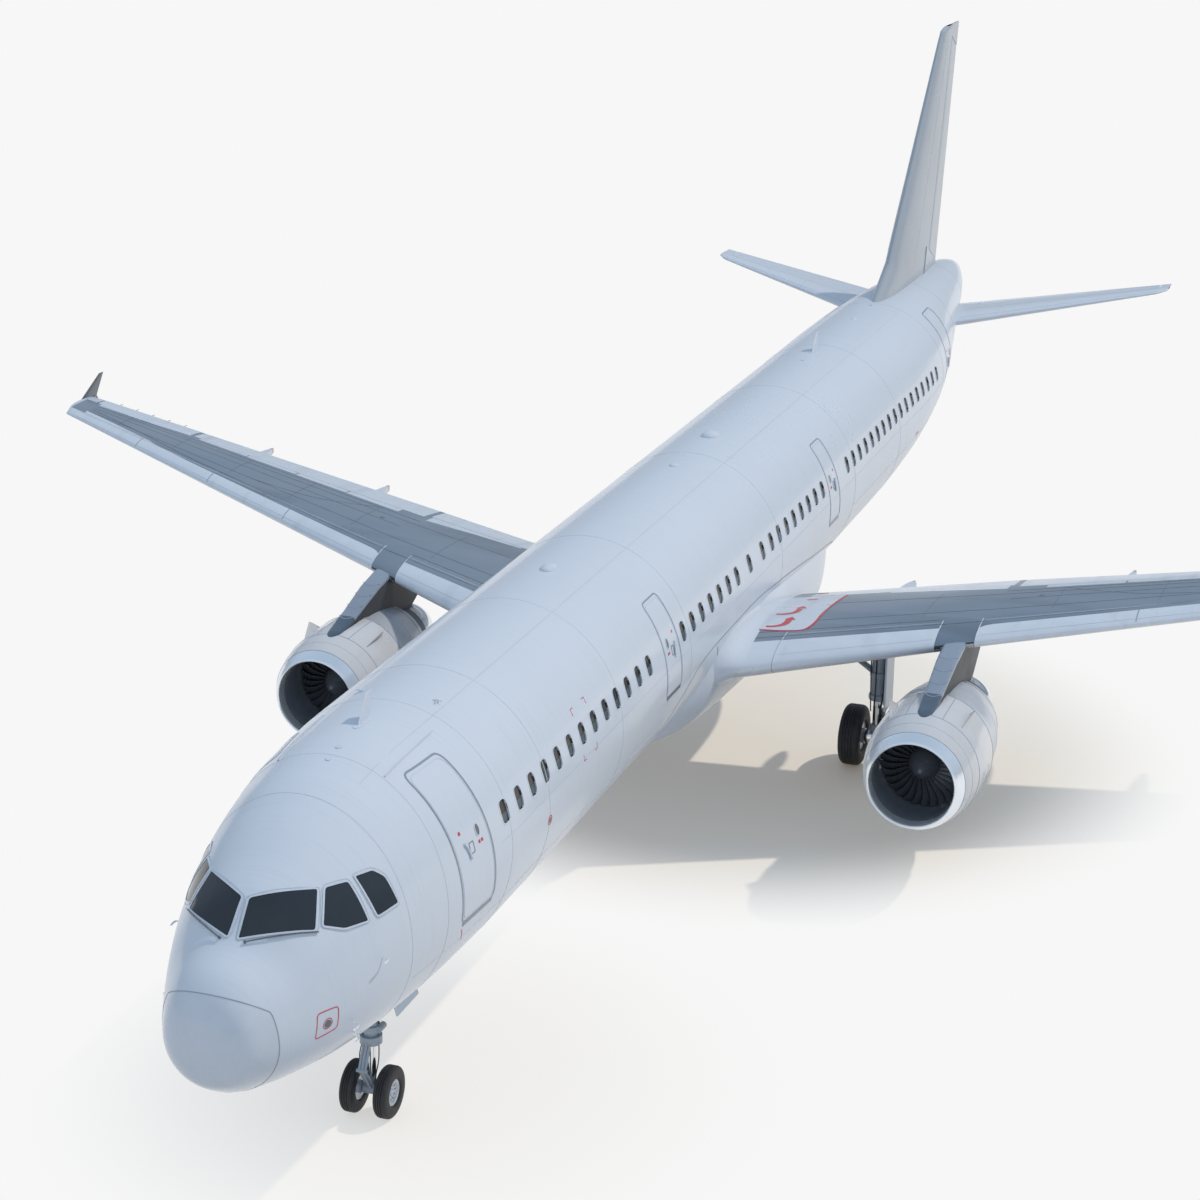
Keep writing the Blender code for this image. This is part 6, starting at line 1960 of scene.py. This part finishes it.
def build_wheels(prefix, centre, radius, width, track, rim, axle, inner, body, grooves):
    for label, offset in (("left", track), ("right", -track)):
        shape = Shape()
        middle = (centre[0] + offset, centre[1], centre[2])
        shape.lathe(tyre_loop(radius, width, rim + GAP, grooves), middle, "x", steps=72, closed=True)
        node = f"{prefix}_{label}_tyre"
        piece(node + "_skin", shape, body, [RUBBER], [node], angle=35)
    half, dish = width * 0.36, width * 0.17
    hubs = Shape()
    for sign in (1, -1):
        outer = [
            (track + dish + 0.30 * dish, 0.0), (track + dish + 0.30 * dish, 0.16 * rim),
            (track + dish, 0.20 * rim), (track + dish * 0.6, 0.30 * rim), (track + dish * 0.8, 0.42 * rim),
            (track + half * 0.55, 0.55 * rim), (track + half * 0.70, 0.68 * rim),
            (track + half * 0.95, 0.74 * rim), (track + half * 0.95, 0.90 * rim), (track + half, 0.94 * rim),
            (track + half, rim), (track - half, rim), (track - half, 0.5 * rim), (inner, 0.5 * rim),
            (inner, axle),
        ]
        hubs.lathe([(sign * a, r) for a, r in outer], centre, "x", steps=64)
        for k in range(10):
            a = 2 * math.pi * k / 10
            c, s = math.cos(a), math.sin(a)
            base = track + dish * 0.75
            for share, near, far, size, sides, slot in (
                (0.40, base - 0.02, base + 0.22 * dish, 0.055, 6, 2),
                (0.60, track + half * 0.40, track + half * 0.62, 0.075, 12, 1),
            ):
                line = [
                    (centre[0] + sign * out, centre[1] + share * rim * c, centre[2] + share * rim * s)
                    for out in (near, far)
                ]
                hubs.tube(line, size * rim, sides=sides, slot=slot)
    hubs.lathe([(-inner, axle), (inner, axle)], centre, "x", steps=48)
    piece(f"{prefix}_hubs_skin", hubs, body, [HUB_METAL, DARK_PAINT, POLISHED], [f"{prefix}_hubs"])


build_wheels(
    "nose", (0.0, NOSE_S, NOSE_AXLE_Z), NOSE_TYRE_R, NOSE_TYRE_W, NOSE_TRACK, NOSE_RIM, axle=0.045, inner=0.142,
    body="nose_wheels", grooves=(-0.32, 0.0, 0.32),
)
for side_name, side in SIDES:
    build_wheels(
        side_name + "_main", (side * MAIN_X, MAIN_S, MAIN_AXLE_Z), MAIN_TYRE_R, MAIN_TYRE_W, MAIN_TRACK, MAIN_RIM,
        axle=0.07, inner=0.232, body=side_name + "_main_wheels", grooves=(-0.40, -0.14, 0.14, 0.40),
    )


# Landing gear: the frame's legs in their finishes, with lines, links and fittings
def finish_node(name, material):
    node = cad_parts[name]
    node.data.materials.clear()
    node.data.materials.append(material)


for name in ("nose_leg", "nose_fork"):
    finish_node(name, GEAR_PAINT)
for side_name, _ in SIDES:
    for name, material in (
        ("main_leg", GEAR_PAINT), ("oleo", CHROME), ("side_stay", GEAR_PAINT), ("leg_door", PAINT),
    ):
        finish_node(f"{side_name}_{name}", material)


def build_gear():
    fork = Shape()
    sleeve = [(0.0, 0.071), (0.0, 0.074), (0.55, 0.074), (0.55, 0.071)]
    fork.lathe(sleeve, (0, NOSE_S, 0.66), "z", steps=32, slot=1)
    for side in (1, -1):
        fork.tube([(side * 0.05, NOSE_S - 0.05, 0.50), (side * 0.05, NOSE_S - 0.34, 0.89)], 0.022, sides=8)
        fork.tube([(side * 0.05, NOSE_S - 0.34, 0.89), (side * 0.05, NOSE_S - 0.16, 1.25)], 0.022, sides=8)
        fork.tube(rounded_line([
            (side * 0.12, NOSE_S + 0.02, 1.30), (side * 0.16, NOSE_S - 0.08, 1.0),
            (side * 0.11, NOSE_S - 0.09, 0.70), (side * 0.09, NOSE_S - 0.02, 0.50),
        ], 6), 0.009, sides=6, slot=2)
    fork.tube([(-0.09, NOSE_S - 0.34, 0.89), (0.09, NOSE_S - 0.34, 0.89)], 0.030, sides=12)
    piece("nose_fork_fittings", fork, "nose_steering", [GEAR_PAINT, CHROME, RUBBER])
    leg = Shape()
    collar = [(0.0, 0.116), (0.0, 0.150), (0.05, 0.158), (0.10, 0.150), (0.10, 0.116)]
    leg.lathe(collar, (0, NOSE_S, 1.42), "z", steps=32)
    leg.lathe([(0.0, 0.116), (0.0, 0.135), (0.06, 0.135), (0.06, 0.116)], (0, NOSE_S, 1.86), "z", steps=32)
    for side in (1, -1):
        leg.tube([(side * 0.15, NOSE_S - 0.06, 1.47), (side * 0.15, NOSE_S + 0.14, 1.47)], 0.055, sides=14)
        leg.tube(rounded_line([
            (side * 0.13, NOSE_S - 0.02, 2.6), (side * 0.15, NOSE_S - 0.03, 2.1),
            (side * 0.14, NOSE_S - 0.02, 1.55),
        ], 6), 0.012, sides=6, slot=1)
        lamp = [(-0.10, 0.0), (-0.10, 0.05), (-0.07, 0.065), (0.0, 0.065), (0.03, 0.04), (0.03, 0.0)]
        leg.lathe(lamp, (side * 0.20, NOSE_S - 0.06, 1.74), "s", steps=24, slot=2)
        leg.tube([(side * 0.20, NOSE_S - 0.05, 1.74), (side * 0.10, NOSE_S, 1.74)], 0.018, sides=8)
    piece("nose_leg_fittings", leg, "airframe", [GEAR_PAINT, RUBBER, POLISHED])
    doors = Shape()
    for side in (1, -1):
        rows = []
        for share in spread(0.0, 1.0, 0.2):
            x = side * (0.33 + 0.16 * share)
            z = 2.36 - 0.55 * share
            rows.append([(x, 5.05, z), (x, 5.84, z), (x + side * 0.022, 5.84, z), (x + side * 0.022, 5.05, z)])
        doors.grid(rows, around=True, caps=True)
        doors.tube([(side * 0.115, NOSE_S + 0.05, 1.95), (side * 0.44, 5.30, 2.02)], 0.014, sides=8, slot=1)
    piece("nose_gear_doors", doors, "airframe", [PAINT, GEAR_PAINT])
    for side_name, side in SIDES:
        x = side * MAIN_X
        main = Shape()
        for height, radius in ((1.47, 0.185), (1.95, 0.175), (2.60, 0.172)):
            band = [
                (0.0, 0.15), (0.0, radius), (0.03, radius + 0.012), (0.09, radius + 0.012), (0.12, radius),
                (0.12, 0.15),
            ]
            main.lathe(band, (x, MAIN_S, height), "z", steps=36)
        for offset in (0.10, -0.10):
            main.tube([(x + offset, MAIN_S + 0.12, 1.62), (x + offset * 0.6, MAIN_S + 0.42, 1.23)], 0.028, sides=8)
        main.tube([(x - 0.10, MAIN_S + 0.42, 1.22), (x + 0.10, MAIN_S + 0.42, 1.22)], 0.038, sides=14)
        for offset, back in ((0.13, -0.13), (-0.02, -0.18), (-0.13, -0.12)):
            main.tube(rounded_line([
                (x + offset, MAIN_S + back, 3.0), (x + offset * 1.1, MAIN_S + back, 2.3),
                (x + offset, MAIN_S + back * 1.1, 1.7), (x + offset * 0.8, MAIN_S + back * 1.5, 1.25),
            ], 6), 0.014, sides=6, slot=1)
        piece(side_name + "_leg_fittings", main, "airframe", [GEAR_PAINT, RUBBER])
        lower = Shape()
        for offset in (0.08, -0.08):
            link = [(x + offset, MAIN_S + 0.10, 0.74), (x + offset * 0.8, MAIN_S + 0.42, 1.16)]
            lower.tube(link, 0.028, sides=8)
        foot = [(0.0, 0.097), (0.0, 0.15), (0.10, 0.15), (0.14, 0.12), (0.14, 0.097)]
        lower.lathe(foot, (x, MAIN_S, 0.78), "z", steps=32)
        piece(side_name + "_oleo_fittings", lower, "airframe", [GEAR_PAINT])
        stay = Shape()
        start, end = Vector((x - side * 0.13, MAIN_S, 2.06)), Vector((side * 1.95, MAIN_S - 0.05, 3.30))
        middle = start.lerp(end, 0.5)
        for offset in (0.07, -0.07):
            aside = Vector((0, offset, 0))
            stay.tube([tuple(start + aside), tuple(middle + aside)], 0.035, sides=10)
        stay.tube([tuple(middle + Vector((0, -0.11, 0))), tuple(middle + Vector((0, 0.11, 0)))], 0.06, sides=14)
        stay.tube([tuple(middle), (x - side * 0.05, MAIN_S - 0.10, 3.0)], 0.028, sides=10)
        piece(side_name + "_stay_fittings", stay, "airframe", [GEAR_PAINT])


build_gear()


# Floor, light and world
FLOOR_HALF = 900
FLOOR_COLOUR, FLOOR_GLOW, FLOOR_GLOW_STRENGTH = (0.90, 0.87, 0.80, 1.0), (1.0, 0.80, 0.60, 1.0), 0.12
BACKDROP = (0.93, 0.93, 0.93, 1.0)
# What the floor throws back on the underside, and how far it replaces the floor's look there
BOUNCE, BOUNCE_SHARE = (0.19, 0.215, 0.25, 1.0), 0.85
# Soft spots outside which the floor is plain: middle, radius, where it fades from and to, least plain share
FLOOR_SPOTS = (((1.0, 22.0), 7.0, 0.78, 1.35, 0.0), ((0.3, 6.5), 5.5, 0.2, 1.2, 0.55))
# Sky colours from straight below to straight above, and the colour ahead of the nose
SKY = (
    (0.0, (0.24, 0.28, 0.33)), (0.12, (0.28, 0.34, 0.42)), (0.30, (0.37, 0.46, 0.58)),
    (0.60, (0.38, 0.49, 0.63)), (1.0, (0.26, 0.375, 0.52)),
)
SKY_AHEAD = (0.62, 0.70, 0.80, 1.0)
SUN_STRENGTH, SUN_SPREAD, SUN_COLOUR, SUN_FROM = 1.65, 1.5, (1.0, 0.90, 0.78), (0.64, 0.60, 1.0)


def build_floor():
    shape = Shape()
    far = FLOOR_HALF
    shape.add([(-far, -far, 0), (far, -far, 0), (far, far, 0), (-far, far, 0)], [(0, 1, 2, 3)])
    material = bpy.data.materials.new("floor")
    material.use_nodes = True
    tree = material.node_tree
    shader = tree.nodes["Principled BSDF"]
    for name, value in (
        ("Base Color", FLOOR_COLOUR), ("Roughness", 0.9), ("Specular IOR Level", 0.0),
        ("Emission Color", FLOOR_GLOW), ("Emission Strength", FLOOR_GLOW_STRENGTH),
    ):
        shader.inputs[name].default_value = value
    plain = add_node(tree, "Emission", {"Color": BACKDROP})
    where = add_node(tree, "TexCoord")
    least = add_node(tree, "Math", operation="MINIMUM")
    for number, (middle, radius, fade_from, fade_to, lowest) in enumerate(FLOOR_SPOTS):
        spot = add_node(
            tree, "Mapping", {
                "Location": place(*middle, 0.0), "Scale": (radius * SCALE, radius * SCALE, 1.0),
            }, {"Vector": where.outputs["Object"]}, vector_type="TEXTURE",
        )
        away = add_node(tree, "VectorMath", feeds={0: spot.outputs["Vector"]}, operation="LENGTH")
        fade = add_node(
            tree, "MapRange", {"From Min": fade_from, "From Max": fade_to, "To Min": lowest},
            {"Value": away.outputs["Value"]}, interpolation_type="SMOOTHSTEP",
        )
        tree.links.new(fade.outputs["Result"], least.inputs[number])
    mixed = add_node(tree, "MixShader", feeds={
        "Fac": least.outputs["Value"], 1: shader.outputs["BSDF"], 2: plain.outputs["Emission"],
    })
    # Light that the floor throws back on the underside is dimmer than the floor looks
    dim = add_node(tree, "Emission", {"Color": BOUNCE})
    sight = add_node(tree, "LightPath")
    share = add_node(tree, "MapRange", {"To Max": BOUNCE_SHARE}, {"Value": sight.outputs["Is Diffuse Ray"]})
    bounced = add_node(tree, "MixShader", feeds={
        "Fac": share.outputs["Result"], 1: mixed.outputs["Shader"], 2: dim.outputs["Emission"],
    })
    tree.links.new(bounced.outputs["Shader"], tree.nodes["Material Output"].inputs["Surface"])
    floor = bpy.data.objects.new("floor", mesh_of("floor", shape))
    bpy.context.scene.collection.objects.link(floor)
    floor.data.materials.append(material)


def build_world():
    world = bpy.data.worlds.new("studio")
    bpy.context.scene.world = world
    world.use_nodes = True
    tree = world.node_tree
    background = tree.nodes["Background"]
    where = add_node(tree, "TexCoord")
    split = add_node(tree, "SeparateXYZ", feeds={"Vector": where.outputs["Generated"]})
    sky = add_node(tree, "ValToRGB", feeds={"Fac": split.outputs["Z"]})
    ends = sky.color_ramp.elements
    ends[0].position, ends[1].position = SKY[0][0], SKY[-1][0]
    ends[0].color, ends[1].color = (*SKY[0][1], 1.0), (*SKY[-1][1], 1.0)
    for position, colour in SKY[1:-1]:
        sky.color_ramp.elements.new(position).color = (*colour, 1.0)
    ahead = add_node(
        tree, "MapRange", {"From Min": 0.1, "From Max": -0.9, "To Max": 0.75}, {"Value": split.outputs["Y"]},
        interpolation_type="SMOOTHSTEP",
    )
    fill = add_node(
        tree, "Mix", {"B": SKY_AHEAD}, {"Factor": ahead.outputs["Result"], "A": sky.outputs["Color"]},
        data_type="RGBA",
    )
    tree.links.new(fill.outputs["Result"], background.inputs["Color"])
    background.inputs["Strength"].default_value = 1.0
    backdrop = add_node(tree, "Background", {"Color": BACKDROP})
    sight = add_node(tree, "LightPath")
    mixed = add_node(tree, "MixShader", feeds={
        "Fac": sight.outputs["Is Camera Ray"], 1: background.outputs["Background"],
        2: backdrop.outputs["Background"],
    })
    tree.links.new(mixed.outputs["Shader"], tree.nodes["World Output"].inputs["Surface"])


def build_light():
    data = bpy.data.lights.new("key", "SUN")
    data.energy = SUN_STRENGTH
    data.angle = math.radians(SUN_SPREAD)
    data.color = SUN_COLOUR
    key = bpy.data.objects.new("key", data)
    bpy.context.scene.collection.objects.link(key)
    key.rotation_euler = Vector(SUN_FROM).to_track_quat("Z", "Y").to_euler()
    key.visible_glossy = False


build_floor()
build_world()
build_light()
bpy.context.scene.view_settings.view_transform = "Standard"
bpy.context.scene.view_settings.look = "None"
